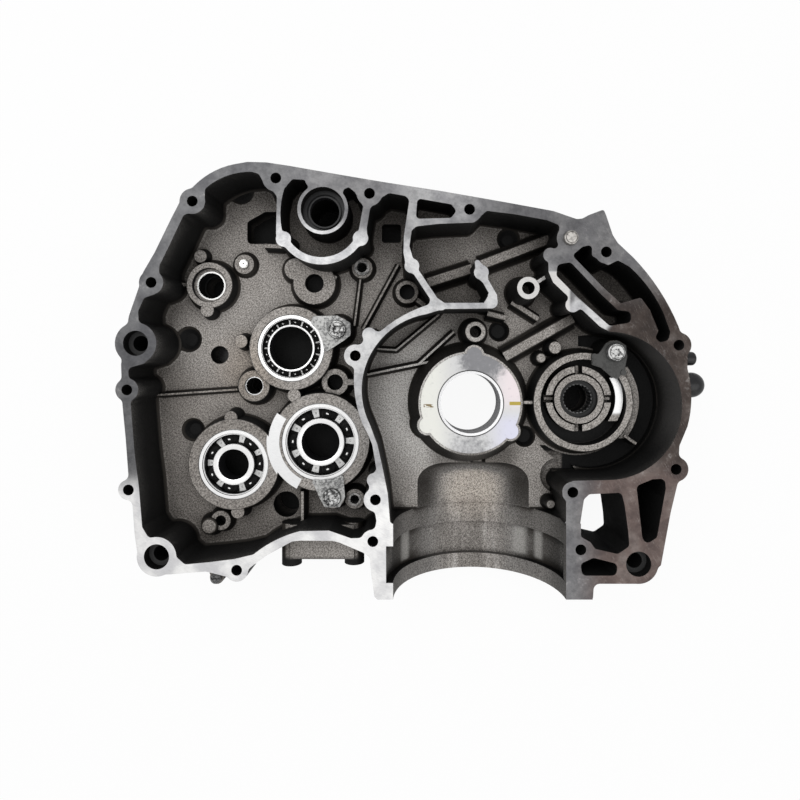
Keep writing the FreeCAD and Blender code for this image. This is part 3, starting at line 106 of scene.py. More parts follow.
class Signal:
    """One socket of a node tree, with arithmetic that adds Math nodes."""

    def __init__(self, board: "Board", socket: bpy.types.NodeSocket) -> None:
        """Keep the socket and the board it belongs to."""
        self.board = board
        self.socket = socket

    def maths(self, operation: str, *others: Any) -> "Signal":
        """Feed this signal and others to one Math node.

        Args:
            operation: Name of the Math node's operation.
            others: Signals or numbers for the sockets that follow.

        Returns:
            The node's result.
        """
        sockets = dict(enumerate((self, *others)))
        node = self.board.add("ShaderNodeMath", {"operation": operation}, sockets)
        return Signal(self.board, node.outputs[0])

    def __add__(self, other: Any) -> "Signal":
        """Sum."""
        return self.maths("ADD", other)

    def __radd__(self, other: Any) -> "Signal":
        """Sum with a number on the left."""
        return self.maths("ADD", other)

    def __sub__(self, other: Any) -> "Signal":
        """Difference."""
        return self.maths("SUBTRACT", other)

    def __rsub__(self, other: float) -> "Signal":
        """Number minus this signal."""
        flipped = self.maths("MULTIPLY", -1.0)
        return flipped.maths("ADD", other)

    def __mul__(self, other: Any) -> "Signal":
        """Product."""
        return self.maths("MULTIPLY", other)

    def __rmul__(self, other: Any) -> "Signal":
        """Product with a number on the left."""
        return self.maths("MULTIPLY", other)

    def absolute(self) -> "Signal":
        """Size without its sign."""
        return self.maths("ABSOLUTE")

    def over(self, other: Any) -> "Signal":
        """The larger of two signals."""
        return self.maths("MAXIMUM", other)

    def rise(self, low: float, high: float) -> "Signal":
        """Smooth step from 0 at low to 1 at high; low may be the larger.

        Args:
            low: Value that gives 0.
            high: Value that gives 1.

        Returns:
            The step, between 0 and 1.
        """
        start, end = (1.0, 0.0) if low > high else (0.0, 1.0)
        settings = {"interpolation_type": "SMOOTHSTEP"}
        sockets = {0: self, 1: min(low, high), 2: max(low, high), 3: start, 4: end}
        node = self.board.add("ShaderNodeMapRange", settings, sockets)
        return Signal(self.board, node.outputs[0])

    def band(self, low: float, high: float, soft: float) -> "Signal":
        """1 between two values and 0 outside, with soft ends.

        Args:
            low: Start of the band.
            high: End of the band.
            soft: Width of each end.

        Returns:
            The band, between 0 and 1.
        """
        return self.rise(low - soft, low + soft) * self.rise(high + soft, high - soft)


class Board:
    """The node tree of a material or a world while it is being filled."""

    def __init__(self, owner: bpy.types.Material | bpy.types.World) -> None:
        """Empty the owner's tree.

        Args:
            owner: Material or world.
        """
        self.owner = owner
        owner.use_nodes = True
        self.tree = owner.node_tree
        self.tree.nodes.clear()

    def add(self, kind: str, settings: dict[str, Any] | None = None,
            sockets: dict[Any, Any] | None = None) -> bpy.types.Node:
        """Add one node of any type.

        Args:
            kind: The node's type.
            settings: Properties, set before the sockets.
            sockets: Values or links, by the socket's name or number.

        Returns:
            The new node.
        """
        node = self.tree.nodes.new(kind)
        for key, value in (settings or {}).items():
            setattr(node, key, value)
        for key, value in (sockets or {}).items():
            target = node.inputs[key]
            if isinstance(value, Signal):
                self.tree.links.new(value.socket, target)
            elif isinstance(value, tuple) and len(value) == 3 and target.type == "RGBA":
                target.default_value = (*value, 1.0)
            else:
                target.default_value = value
        return node

    def place(self) -> Signal:
        """Object coordinates as a vector."""
        return Signal(self, self.add("ShaderNodeTexCoord").outputs["Object"])

    def split(self, vector: Signal) -> tuple[Signal, Signal, Signal]:
        """The three parts of a vector."""
        node = self.add("ShaderNodeSeparateXYZ", None, {0: vector})
        return tuple(Signal(self, socket) for socket in node.outputs)

    def facing(self) -> Signal:
        """Upward part of the surface's direction, from -1 to 1."""
        node = self.add("ShaderNodeNewGeometry")
        return self.split(Signal(self, node.outputs["Normal"]))[2]

    def turned(self, vector: Signal, angle: float, scale: Sequence[float]) -> Signal:
        """Turn a vector about Z and stretch it.

        Args:
            vector: What is turned.
            angle: Degrees.
            scale: Factors along the three axes.

        Returns:
            The new vector.
        """
        spin = {0: vector, "Rotation": (0.0, 0.0, math.radians(angle))}
        turned = Signal(self, self.add("ShaderNodeMapping", None, spin).outputs[0])
        stretch = {0: turned, "Scale": tuple(scale)}
        return Signal(self, self.add("ShaderNodeMapping", None, stretch).outputs[0])

    def noise(self, vector: Signal, scale: float, detail: float = 3.0,
              rough: float = 0.6) -> Signal:
        """Cloudy noise between 0 and 1.

        Args:
            vector: Where it is read.
            scale: Cells in a metre.
            detail: Octaves.
            rough: Weight of the finer octaves.

        Returns:
            The noise.
        """
        sockets = {"Vector": vector, "Scale": scale, "Detail": detail, "Roughness": rough}
        return Signal(self, self.add("ShaderNodeTexNoise", None, sockets).outputs[0])

    def mix(self, share: Any, first: Any, second: Any) -> Signal:
        """Blend two colours.

        Args:
            share: 0 gives the first, 1 the second.
            first: Colour or signal.
            second: Colour or signal.

        Returns:
            The blend.
        """
        node = self.add("ShaderNodeMix", {"data_type": "RGBA"}, {0: share, 6: first, 7: second})
        return Signal(self, node.outputs[2])

    def tint(self, share: Any, first: Any, second: Any) -> Signal:
        """Multiply one colour by another, by a share from 0 to 1."""
        node = self.add("ShaderNodeMix", {"data_type": "RGBA", "blend_type": "MULTIPLY"},
                        {0: share, 6: first, 7: second})
        return Signal(self, node.outputs[2])

    def hollow(self, reach: float) -> Signal:
        """Openness of a spot: 1 in the open, lower in corners and recesses."""
        node = self.add("ShaderNodeAmbientOcclusion", {"samples": 8, "only_local": True},
                        {"Distance": reach})
        return Signal(self, node.outputs["AO"])

    def bump(self, height: Signal, distance: float, strength: float = 1.0) -> Signal:
        """Turn a height signal to a surface direction.

        Args:
            height: Signal between 0 and 1.
            distance: Depth of the relief in metres.
            strength: Share of the relief that shows.

        Returns:
            The surface direction.
        """
        node = self.add("ShaderNodeBump", None,
                        {"Height": height, "Distance": distance, "Strength": strength})
        return Signal(self, node.outputs[0])

    def surface(self, **sockets: Any) -> bpy.types.Material:
        """Finish the material with one shader.

        Args:
            sockets: Values or links for the shader, with underscores for blanks.

        Returns:
            The material.
        """
        named = {key.replace("_", " "): value for key, value in sockets.items()}
        shader = self.add("ShaderNodeBsdfPrincipled", None, named)
        self.add("ShaderNodeOutputMaterial", None, {0: Signal(self, shader.outputs[0])})
        return self.owner


def away(x: Signal, y: Signal, middle: Sequence[float]) -> Signal:
    """Distance from an upright axis.

    Args:
        x: First coordinate.
        y: Second coordinate.
        middle: Where the axis stands.

    Returns:
        The distance, in the unit of the coordinates.
    """
    dx = x - middle[0]
    dy = y - middle[1]
    return (dx * dx + dy * dy).maths("SQRT")


@dataclass(frozen=True)
class Spot:
    """A shaded point: its place in the model in millimetres, and how far it faces up."""

    x: Signal
    y: Signal
    z: Signal
    up: Signal

    def disc(self, middle: Sequence[float], rim: float, core: float) -> Signal:
        """Smooth step with the distance from an upright axis.

        Args:
            middle: Where the axis stands.
            rim: Distance that gives 0.
            core: Distance that gives 1.

        Returns:
            The step, between 0 and 1.
        """
        return away(self.x, self.y, middle).rise(rim, core)

    def ring(self, middle: Sequence[float], low: float, high: float, soft: float) -> Signal:
        """1 between two distances from an upright axis.

        Args:
            middle: Where the axis stands.
            low: Inner radius.
            high: Outer radius.
            soft: Width of each end.

        Returns:
            The ring, between 0 and 1.
        """
        return away(self.x, self.y, middle).band(low, high, soft)


@dataclass(frozen=True)
class CastAlloy:
    """Cast light alloy, machined on its joint face and on two crescents, with painted shade on its
    inner slopes, walls and hollows and a painted reflection on its joint face.

    All places, radii and levels are in millimetres of the model's own frame.
    """

    floor_dark: Colour = (0.125, 0.115, 0.106)
    floor_light: Colour = (0.52, 0.49, 0.46)
    # Painted shade: the two colours below darken steep faces inside the case.
    slope_shade: Colour = (0.034, 0.030, 0.026)
    wall_shade: Colour = grey(0.010)
    outer_dark: Colour = (0.10, 0.095, 0.09)
    outer_light: Colour = (0.34, 0.325, 0.31)
    # Painted shade in deep holes and under the floors.
    black: Colour = grey(0.006)
    # The joint face's colours are painted reflection: darker on the left, white in the lower-left
    # corner, bright strips and glare, brown on the right.
    face_left: Colour = (0.115, 0.115, 0.118)
    face_grey: Colour = (0.165, 0.163, 0.165)
    face_white: Colour = (0.80, 0.795, 0.785)
    face_bright: Colour = grey(0.50)
    face_brown: Colour = (0.048, 0.037, 0.032)
    leg_brown: Colour = (0.105, 0.078, 0.070)
    split: float = 18.0
    seat_level: float = 11.0
    mouth_axis: float = 3.6
    output_axis: tuple[float, float] = (-99.7, -26.1)
    hub_axis: tuple[float, float] = (72.3, 2.8)
    trough_axis: tuple[float, float] = (75.0, 0.6)
    bores: tuple[tuple[tuple[float, float], float], ...] = (
        ((-119.3, 36.6), 14.3),
        ((-99.7, -26.1), 12.6),
        ((-157.7, -41.0), 10.1),
    )
    # Bands across the cylinder mouth where a painted reflection lies.
    gleams: tuple[tuple[float, float, float], ...] = (
        (-46.0, -41.0, 1.2),
        (34.0, 42.0, 2.0),
        (47.0, 51.0, 1.2),
    )

    def joint_face(self, board: Board, place: Signal, at: Spot) -> Signal:
        """Colour of the machined joint face: a painted reflection that runs from grey to white to
        brown along the case.

        Args:
            board: Tree that is filled.
            place: Object coordinates.
            at: The shaded point.

        Returns:
            The colour.
        """
        x, y = at.x, at.y
        # Painted highlight: a white corner, bright strips and a glare where the face reflects the
        # lamps.
        corner = y.rise(-38.0, -58.0) * x.rise(-40.0, -52.0)
        top_line = (x + 142.0) * -0.172 + 152.8
        inner = (top_line - y).rise(22.0, 40.0) * y.rise(-62.0, -50.0)
        inner = inner * x.rise(-132.0, -122.0) * x.rise(56.0, 40.0)
        dx = x - 73.0
        dy = y - 56.5
        strip = (dx * 0.8 - dy * 0.6).band(-14.0, 14.0, 2.0)
        strip = strip * (dx * 0.6 + dy * 0.8).band(-6.0, 4.0, 1.0)
        glare = at.disc((-22.0, 126.0), 46.0, 10.0) * 0.42
        bright = inner.over(strip).over(glare)
        brown = x.rise(60.0, 84.0) * y.rise(92.0, 58.0) * (1.0 - strip)
        cloud = board.noise(place, 46.0, 4.0, 0.6)
        # Painted reflection: the face is darker towards the left.
        plain = board.mix(x.rise(-104.0, -128.0), self.face_grey, self.face_left)
        colour = board.mix(bright, plain, self.face_bright)
        colour = board.mix(corner, colour, self.face_white)
        # Painted reflection: brown on the right, with random lighter patches.
        brown_reflection = board.mix(y.rise(-30.0, -48.0), self.face_brown, self.leg_brown)
        brown_reflection = board.mix(cloud.rise(0.50, 0.72) * 0.35, brown_reflection, (0.20, 0.18, 0.17))
        colour = board.mix(brown, colour, brown_reflection)
        blot = board.noise(place, 150.0, 5.0, 0.75)
        dull = blot.rise(0.58, 0.34) * (1.0 - corner * 0.8) * 0.7
        colour = board.tint(dull, colour, (0.58, 0.58, 0.59))
        colour = board.mix(blot.rise(0.58, 0.74) * 0.20, colour, (0.62, 0.60, 0.58))
        return board.tint(cloud.rise(0.60, 0.36), colour, (0.70, 0.70, 0.72))

    def deep_shade(self, at: Spot) -> Signal:
        """Where painted shade turns the casting black: wells, blind bores and spaces under the
        floors.

        Args:
            at: The shaded point.

        Returns:
            1 where black shade is painted.
        """
        mouth = at.x.band(-60.0, 66.0, 1.0) * at.y.rise(-34.0, -36.0)
        holes = at.z.rise(-17.9, -19.0) * (1.0 - mouth)
        for middle, radius in self.bores:
            bore = at.disc(middle, radius + 0.3, radius)
            holes = holes.over(bore * at.z.rise(-6.0, -8.0))
        trough = at.disc(self.trough_axis, 29.6, 28.0) * at.disc(self.hub_axis, 21.4, 22.0)
        holes = holes.over(trough * at.z.rise(-9.5, -10.5))
        legs = at.x.rise(65.0, 66.0) * at.y.rise(-57.0, -58.0)
        feet = at.y.rise(-100.0, -104.0) * at.x.band(-132.0, -64.0, 1.0)
        low = at.z.rise(16.0, 15.0)
        return (holes * at.up.rise(0.15, 0.5)).over(legs.over(feet) * low)

    def floor(self, board: Board, place: Signal, at: Spot, speckle: Signal) -> Signal:
        """Colour of the cast floors: speckled, lighter in the crank chamber and the scoop.

        Args:
            board: Tree that is filled.
            place: Object coordinates.
            at: The shaded point.
            speckle: Grain, 1 on its light grains.

        Returns:
            The colour.
        """
        x, y = at.x, at.y
        cloud = board.noise(place, 34.0, 3.0, 0.55)
        floor = board.mix(speckle, self.floor_dark, self.floor_light)
        floor = board.tint(cloud.rise(0.62, 0.38) * 0.5, floor, (0.72, 0.71, 0.70))
        low_left = x.rise(-112.0, -132.0) * y.rise(34.0, 10.0)
        floor = board.tint(low_left * 0.45, floor, (0.55, 0.53, 0.51))
        chamber = at.disc((-26.0, 2.0), 70.0, 24.0)
        floor = board.mix(chamber * (speckle * 0.60 + 0.14), floor, (0.72, 0.71, 0.69))
        scoop = at.disc((6.0, -64.0), 34.0, 10.0)
        floor = board.mix(scoop * (speckle * 0.50 + 0.06), floor, (0.74, 0.72, 0.69))
        arms = board.noise(board.turned(place, 0.0, (1.0, 0.12, 0.12)), 110.0, 2.0, 0.5)
        mouth = y.rise(-66.0, -74.0) * x.band(-60.0, 66.0, 1.0)
        floor = board.tint(mouth * arms.rise(0.58, 0.36) * 0.6, floor, (0.50, 0.49, 0.48))
        floor = board.mix(mouth * arms.rise(0.50, 0.66) * 0.22, floor, (0.70, 0.69, 0.67))
        warm = at.disc((-150.0, 24.0), 34.0, 6.0).over(scoop)
        return board.tint(warm * 0.5, floor, (1.0, 0.89, 0.77))

    def mouth(self, board: Board, at: Spot, cast: Signal, speckle: Signal,
              flat: Signal) -> Signal:
        """Painted reflection bands in the cylinder mouth, and painted shade on the scoop above it.

        Args:
            board: Tree that is filled.
            at: The shaded point.
            cast: Colour so far.
            speckle: Grain, 1 on its light grains.
            flat: 1 on level surfaces.

        Returns:
            The colour.
        """
        x, y, z = at.x, at.y, at.z
        across = (x - self.mouth_axis).absolute()
        gleam = x.band(*self.gleams[0])
        for low, high, soft in self.gleams[1:]:
            gleam = gleam.over(x.band(low, high, soft))
        # Painted reflection: light bands down the mouth's groove.
        groove = y.band(-109.0, -89.5, 1.2) * z.rise(14.0, 10.0)
        cast = board.mix(groove * gleam * (speckle * 0.4 + 0.45), cast, (0.42, 0.41, 0.39))
        # Painted shade on the scoop's sides and at the mouth's ends.
        slope_shade = (1.0 - flat) * y.rise(-37.0, -41.0) * across.rise(56.0, 55.0)
        scoop = slope_shade * across.rise(20.0, 36.0) * y.rise(-76.0, -72.0)
        cast = board.tint(scoop * 0.75, cast, (0.30, 0.29, 0.28))
        cast = board.tint(slope_shade * across.rise(46.0, 54.0) * 0.6, cast, grey(0.25))
        # Painted shadow under the insert.
        shadow = across.rise(36.0, 22.0) * y.band(-45.0, -31.0, 3.0) * z.rise(6.0, 2.0)
        return board.tint(shadow * 0.75, cast, (0.24, 0.23, 0.22))

    def casting(self, board: Board, place: Signal, at: Spot, grain: Signal,
                flat: Signal) -> Signal:
        """Colour of the rough casting: floors, slopes, walls and the outside, with painted shade on
        the inner slopes and walls, round the balance hub and in recesses.

        Args:
            board: Tree that is filled.
            place: Object coordinates.
            at: The shaded point.
            grain: Fine noise.
            flat: 1 on level surfaces.

        Returns:
            The colour.
        """
        x, y, z, up = at.x, at.y, at.z, at.up
        open_sky = board.hollow(48 * MM)
        speckle = grain.rise(0.30, 0.72)
        steep = up.rise(0.60, 0.15)
        # Painted shade: steep faces inside the case, where little open sky is seen, take the shade
        # colours.
        inside = open_sky.rise(0.95, 0.84) * z.rise(-34.0, -22.0)
        shaded = board.mix(steep, self.slope_shade, self.wall_shade)
        outer = board.mix(speckle, self.outer_dark, self.outer_light)
        side = board.mix(inside, outer, shaded)
        cast = board.mix(up.rise(0.84, 0.975), side, self.floor(board, place, at, speckle))
        cast = self.mouth(board, at, cast, speckle, flat)
        # Painted shade on the steep inner walls round the balance hub.
        bow = at.disc(self.hub_axis, 40.0, 52.0) * x.rise(88.0, 108.0)
        bow = bow * y.rise(-34.0, -6.0) * y.rise(44.0, 30.0) * z.rise(-22.0, -4.0)
        cast = board.mix(bow * steep * inside * 0.9, cast, (0.085, 0.082, 0.080))
        # Painted shade in corners and recesses, by how little open sky a spot sees.
        cast = board.tint(open_sky.rise(0.66, 0.25) * 0.85, cast, (0.16, 0.15, 0.14))
        # Painted shade: deep holes and the spaces under the floors go black.
        cast = board.mix(self.deep_shade(at), cast, self.black)
        seats = z.band(self.seat_level - 0.7, self.seat_level + 0.7, 0.2) * up.rise(0.8, 0.9)
        cast = board.mix(seats, cast, grey(0.035))
        slots = x.rise(56.0, 60.0) * y.rise(40.0, 48.0) * z.rise(12.0, 8.0)
        return board.tint(slots * 0.8, cast, (0.42, 0.41, 0.40))

    def machined(self, board: Board, place: Signal, at: Spot, tall: Signal,
                 bright: Signal) -> Signal:
        """Colour of the machined skin, with its cutter lines and scratches.

        Args:
            board: Tree that is filled.
            place: Object coordinates.
            at: The shaded point.
            tall: 1 on the turned top beside the slanted slot.
            bright: 1 on every machined spot that isn't the joint face.

        Returns:
            The colour.
        """
        glint = board.mix(tall, grey(0.72), (0.50, 0.49, 0.48))
        skin = board.mix(bright, self.joint_face(board, place, at), glint)
        lines = board.noise(board.turned(place, 24.0, (1.0, 14.0, 1.0)), 260.0, 3.0, 0.7)
        skin = board.tint(lines.rise(0.52, 0.30) * 0.4, skin, (0.62, 0.62, 0.64))
        scratch = board.noise(board.turned(place, 62.0, (1.0, 22.0, 1.0)), 150.0, 3.0, 0.8)
        marks = scratch.rise(0.60, 0.70) * at.x.rise(40.0, 90.0)
        return board.mix(marks * 0.35, skin, (0.42, 0.39, 0.37))

    def crescents(self, at: Spot) -> Signal:
        """Machined steps: one beside the output bearing, one round the balance hub.

        Args:
            at: The shaded point.

        Returns:
            1 on the steps.
        """
        swing = (at.y - self.output_axis[1]).maths("MULTIPLY", -1.0)
        swing = swing.maths("ARCTAN2", (at.x - self.output_axis[0]) * -1.0)
        crescent = at.ring(self.output_axis, 27.4, 36.0, 0.15) * swing.band(-0.60, 1.10, 0.01)
        crescent = crescent * at.z.band(-4.4, -3.6, 0.1)
        ring = at.ring(self.hub_axis, 25.3, 30.4, 0.2) * at.z.band(-6.6, -5.4, 0.1)
        ring = ring * at.x.rise(79.0, 80.0) * at.y.band(-8.0, 19.0, 2.0)
        return crescent.over(ring)

    def build(self) -> bpy.types.Material:
        """Make the material."""
        board = Board(bpy.data.materials.new("cast_alloy"))
        place = board.place()
        x, y, z = (part * 1000.0 for part in board.split(place))
        at = Spot(x, y, z, board.facing())
        flat = at.up.rise(0.93, 0.985)
        face = z.rise(self.split - 0.5, self.split - 0.2) * flat
        tall = z.rise(4.6, 5.4) * flat * x.band(26.0, 60.0, 1.0) * y.band(50.0, 84.0, 1.0)
        bright = (self.crescents(at) * flat).over(tall)
        machined = face.over(bright)
        grain = board.noise(board.turned(place, 42.0, (1.0, 0.62, 1.0)), 1350.0, 2.0, 0.7)
        patch = board.noise(place, 240.0, 2.0, 0.5)
        cast = self.casting(board, place, at, grain, flat)
        skin = self.machined(board, place, at, tall, bright)
        relief = (grain * 0.7 + patch * 0.5) * (1.0 - machined)
        return board.surface(
            Base_Color=board.mix(machined, cast, skin),
            Metallic=machined * 0.38 + 0.10,
            Roughness=0.66 - machined * 0.30 + (grain - 0.5) * 0.16,
            Specular_IOR_Level=0.16,
            Normal=board.bump(relief, 0.36 * MM, 0.8),
        )


@dataclass(frozen=True)
class InsertSteel:
    """Machined face of the crank bearing insert, mottled, with two paint ticks, a coloured painted
    reflection on its sides and painted shade at the top and the bottom.

    Places are in millimetres from the crank axis.
    """

    light: Colour = grey(0.56)
    # Painted reflection: the cream, pink and blue tones of the sides.
    cream: Colour = (0.70, 0.70, 0.655)
    pink: Colour = (0.70, 0.625, 0.64)
    blue: Colour = (0.58, 0.58, 0.68)
    shaded_tone: Colour = (0.20, 0.20, 0.21)
    tick: Colour = (0.36, 0.27, 0.03)
    old_tick: Colour = (0.17, 0.12, 0.045)
    seam_radius: float = 22.1

    def build(self) -> bpy.types.Material:
        """Make the material."""
        board = Board(bpy.data.materials.new("insert_steel"))
        place = board.place()
        x, y, _z = (part * 1000.0 for part in board.split(place))
        mottle = board.noise(place, 330.0, 4.0, 0.7)
        cloud = board.noise(place, 70.0, 3.0, 0.6)
        # Painted reflection: cream on the left, pink and blue on the right.
        colour = board.mix(x.rise(-8.0, -26.0), self.light, self.cream)
        colour = board.mix(x.rise(8.0, 28.0) * y.rise(-8.0, 6.0), colour, self.pink)
        colour = board.mix(x.rise(8.0, 26.0) * y.rise(-3.0, -14.0), colour, self.blue)
        # The wear mask below is painted shade at the top and the bottom, broken up by the mottle.
        top = away(x, y, (8.0, 30.0)).rise(24.0, 8.0)
        low = away(x, y, (0.0, -32.0)).rise(24.0, 8.0) * 0.55
        wear = top.over(low)
        dull = wear + (mottle - 0.5) * 1.3 * wear.rise(0.0, 0.4) + (cloud - 0.5) * 0.5
        colour = board.mix(dull.rise(0.15, 0.95), colour, self.shaded_tone)
        colour = board.tint(mottle.rise(0.56, 0.72) * 0.4, colour, (0.66, 0.66, 0.68))
        fresh = x.band(25.6, 34.0, 0.3) * y.band(-1.1, 1.2, 0.2)
        old = x.band(-31.0, -24.6, 0.4) * y.band(-2.6, -0.4, 0.2) * mottle.rise(0.42, 0.50)
        colour = board.mix(fresh, colour, self.tick)
        colour = board.mix(old, colour, self.old_tick)
        seam = away(x, y, (0.0, 0.0)).rise(self.seam_radius + 0.2, self.seam_radius - 0.2)
        colour = board.mix(seam, colour, grey(0.012))
        lines = board.noise(board.turned(place, 60.0, (1.0, 10.0, 1.0)), 300.0, 3.0, 0.7)
        return board.surface(
            Base_Color=colour,
            Metallic=0.20,
            Roughness=0.36 + dull * 0.2 + (mottle - 0.5) * 0.15,
            Normal=board.bump(lines + mottle * 0.5, 0.05 * MM, 0.5),
        )


@dataclass(frozen=True)
class TurnedSteel:
    """Steel that was turned or ground, with fine marks round an upright axis."""

    name: str
    middle: tuple[float, float]
    colour: Colour = grey(0.80)
    shade: Colour = (0.30, 0.30, 0.31)
    metal: float = 0.45
    rough: float = 0.24
    marks: float = 0.35

    def build(self) -> bpy.types.Material:
        """Make the material."""
        board = Board(bpy.data.materials.new(self.name))
        place = board.place()
        x, y, _z = board.split(place)
        radius = away(x, y, self.middle)
        rings = board.add("ShaderNodeTexNoise", {"noise_dimensions": "1D"},
                          {"W": radius * 5200.0, "Detail": 3.0, "Roughness": 0.7})
        fine = Signal(board, rings.outputs[0])
        stain = board.noise(place, 210.0, 4.0, 0.65)
        up = board.facing()
        tilt = up.rise(0.80, 0.35)
        base = board.tint(fine.rise(0.58, 0.34) * self.marks, self.colour, (0.70, 0.70, 0.72))
        base = board.tint(stain.rise(0.66, 0.48) * 0.18, base, (0.78, 0.76, 0.72))
        # Painted shade: steep faces take the shade colour.
        base = board.mix(tilt, base, self.shade)
        return board.surface(
            Base_Color=base,
            Metallic=self.metal,
            Roughness=self.rough + (fine - 0.5) * 0.18 + tilt * 0.4,
            Specular_IOR_Level=0.25,
            Normal=board.bump(fine, 0.02 * MM, 0.45),
        )


@dataclass(frozen=True)
class SpeckledMetal:
    """Plated or phosphated sheet and bar metal with a pitted, speckled skin."""

    name: str
    dark: Colour
    light: Colour
    scale: float = 900.0
    metal: float = 0.4
    rough: float = 0.42
    relief: float = 0.08

    def build(self) -> bpy.types.Material:
        """Make the material."""
        board = Board(bpy.data.materials.new(self.name))
        place = board.place()
        grain = board.noise(place, self.scale, 3.0, 0.7)
        cloud = board.noise(place, self.scale * 0.12, 2.0, 0.5)
        edge = board.facing().rise(0.92, 0.55)
        share = (grain + (cloud - 0.5) * 0.6).rise(0.36, 0.62)
        colour = board.mix(share, self.dark, self.light)
        # Painted shade: steep faces are darker.
        colour = board.tint(edge * 0.75, colour, (0.22, 0.22, 0.23))
        return board.surface(
            Base_Color=colour,
            Metallic=self.metal,
            Roughness=self.rough + (grain - 0.5) * 0.2,
            Normal=board.bump(grain, self.relief * MM, 0.6),
        )


@dataclass(frozen=True)
class BallSteel:
    """Polished balls, painted dark as a stand-in for their dark reflection, with a painted
    highlight on top.
    """

    def build(self) -> bpy.types.Material:
        """Make the material."""
        board = Board(bpy.data.materials.new("ball_steel"))
        place = board.place()
        # Painted highlight on the top of each ball, broken up by noise.
        crest = board.facing().rise(0.976, 0.992)
        smear = board.noise(place, 900.0, 2.0, 0.5)
        painted_highlight = crest * smear.rise(0.25, 0.45)
        return board.surface(
            Base_Color=board.mix(painted_highlight, (0.030, 0.030, 0.032), grey(0.85)),
            Metallic=0.1,
            Specular_IOR_Level=0.2,
            Roughness=0.2 + smear * 0.1,
        )


@dataclass(frozen=True)
class CageSteel:
    """Pressed cage: black pockets, bright lands between them, a painted highlight on the crest of
    each pocket and painted shade on its steep faces.
    """

    def build(self) -> bpy.types.Material:
        """Make the material."""
        board = Board(bpy.data.materials.new("cage_steel"))
        place = board.place()
        land = board.add("ShaderNodeAttribute", {"attribute_name": LAND})
        lands_and_glints = Signal(board, land.outputs["Fac"])
        # Noise that breaks up the bright lands and the painted highlights.
        wear = board.noise(place, 1500.0, 3.0, 0.7)
        share = (lands_and_glints + (wear - 0.5) * 0.9).rise(0.42, 0.60)
        colour = board.mix(share, grey(0.006), (0.74, 0.74, 0.73))
        # Painted shade: steep faces go near black.
        up = board.facing().rise(0.55, 0.80)
        colour = board.mix(up, grey(0.02), colour)
        return board.surface(
            Base_Color=colour,
            Metallic=0.35 * share,
            Roughness=0.62 - share * 0.25 + wear * 0.15,
            Specular_IOR_Level=0.12,
            Normal=board.bump(wear, 0.06 * MM, 0.6),
        )


@dataclass(frozen=True)
class BlackMoulding:
    """Black rubber or plastic with a fine moulded grain."""

    name: str
    colour: Colour = (0.010, 0.010, 0.011)
    rough: float = 0.46
    grain: float = 1400.0

    def build(self) -> bpy.types.Material:
        """Make the material."""
        board = Board(bpy.data.materials.new(self.name))
        place = board.place()
        skin = board.noise(place, self.grain, 3.0, 0.6)
        dust = board.noise(place, 120.0, 3.0, 0.6)
        colour = board.mix(dust.rise(0.52, 0.78) * 0.5, self.colour, (0.045, 0.044, 0.042))
        return board.surface(
            Base_Color=colour,
            Roughness=self.rough + (skin - 0.5) * 0.2,
            Specular_IOR_Level=0.30,
            Normal=board.bump(skin, 0.04 * MM, 0.6),
        )


def lengths(profile: Sequence[tuple[float, float]]) -> list[tuple[float, float]]:
    """Profile in millimetres, given back in metres."""
    return [(radius * MM, rise * MM) for radius, rise in profile]


def axis_of(name: str) -> tuple[float, float]:
    """Upright axis of a round node."""
    low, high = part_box(name)
    return ((low.x + high.x) / 2, (low.y + high.y) / 2)


class Shaper:
    """A mesh in the making, finished as one named piece."""

    def __init__(self, name: str) -> None:
        """Start an empty mesh.

        Args:
            name: The piece's name.
        """
        self.name = name
        self.mesh = bmesh.new()

    def revolve(self, profile: Sequence[tuple[float, float]], middle: Sequence[float],
                steps: int = 96) -> list[bmesh.types.BMVert]:
        """Spin a closed or open profile round an upright axis.

        Args:
            profile: Radius and height of each corner, in metres; radius 0 lies on the axis.
            middle: Point on the axis that heights are counted from.
            steps: Facets round the axis.

        Returns:
            The new vertices.
        """
        centre = Vector(middle)
        before = set(self.mesh.verts)
        verts = [self.mesh.verts.new(centre + Vector((radius, 0, rise)))
                 for radius, rise in profile]
        count = len(verts)
        on_axis = max(profile[0][0], profile[-1][0]) < TINY
        spans = count - 1 if on_axis else count
        edges = [self.mesh.edges.new((verts[i], verts[(i + 1) % count])) for i in range(spans)]
        bmesh.ops.spin(self.mesh, geom=verts + edges, cent=centre, axis=(0, 0, 1),
                       angle=2 * math.pi, steps=steps, use_merge=True)
        fresh = [vert for vert in self.mesh.verts if vert not in before]
        bmesh.ops.remove_doubles(self.mesh, verts=fresh, dist=MERGE)
        return [vert for vert in self.mesh.verts if vert not in before]

    def finish(self, body: str, material: bpy.types.Material, slot: str,
               stands_for: Sequence[str], sharp: float = 32.0) -> None:
        """Close the mesh, shade it, and hand it over as a piece.

        Args:
            body: Body that it rides on.
            material: Its finish.
            slot: Name of a material slot; not used.
            stands_for: Nodes that it replaces.
            sharp: Angle in degrees from which an edge looks crisp.
        """
        bmesh.ops.recalc_face_normals(self.mesh, faces=self.mesh.faces[:])
        for face in self.mesh.faces:
            face.smooth = True
        limit = math.radians(sharp)
        for edge in self.mesh.edges:
            if len(edge.link_faces) == 2 and edge.calc_face_angle(0.0) > limit:
                edge.smooth = False
        data = bpy.data.meshes.new(self.name)
        self.mesh.to_mesh(data)
        self.mesh.free()
        data.materials.append(material)
        piece = bpy.data.objects.new(self.name, data)
        bpy.context.scene.collection.objects.link(piece)
        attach(piece, body)
        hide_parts(*stands_for)
        LOG.info("piece %s: %d faces", self.name, len(data.polygons))


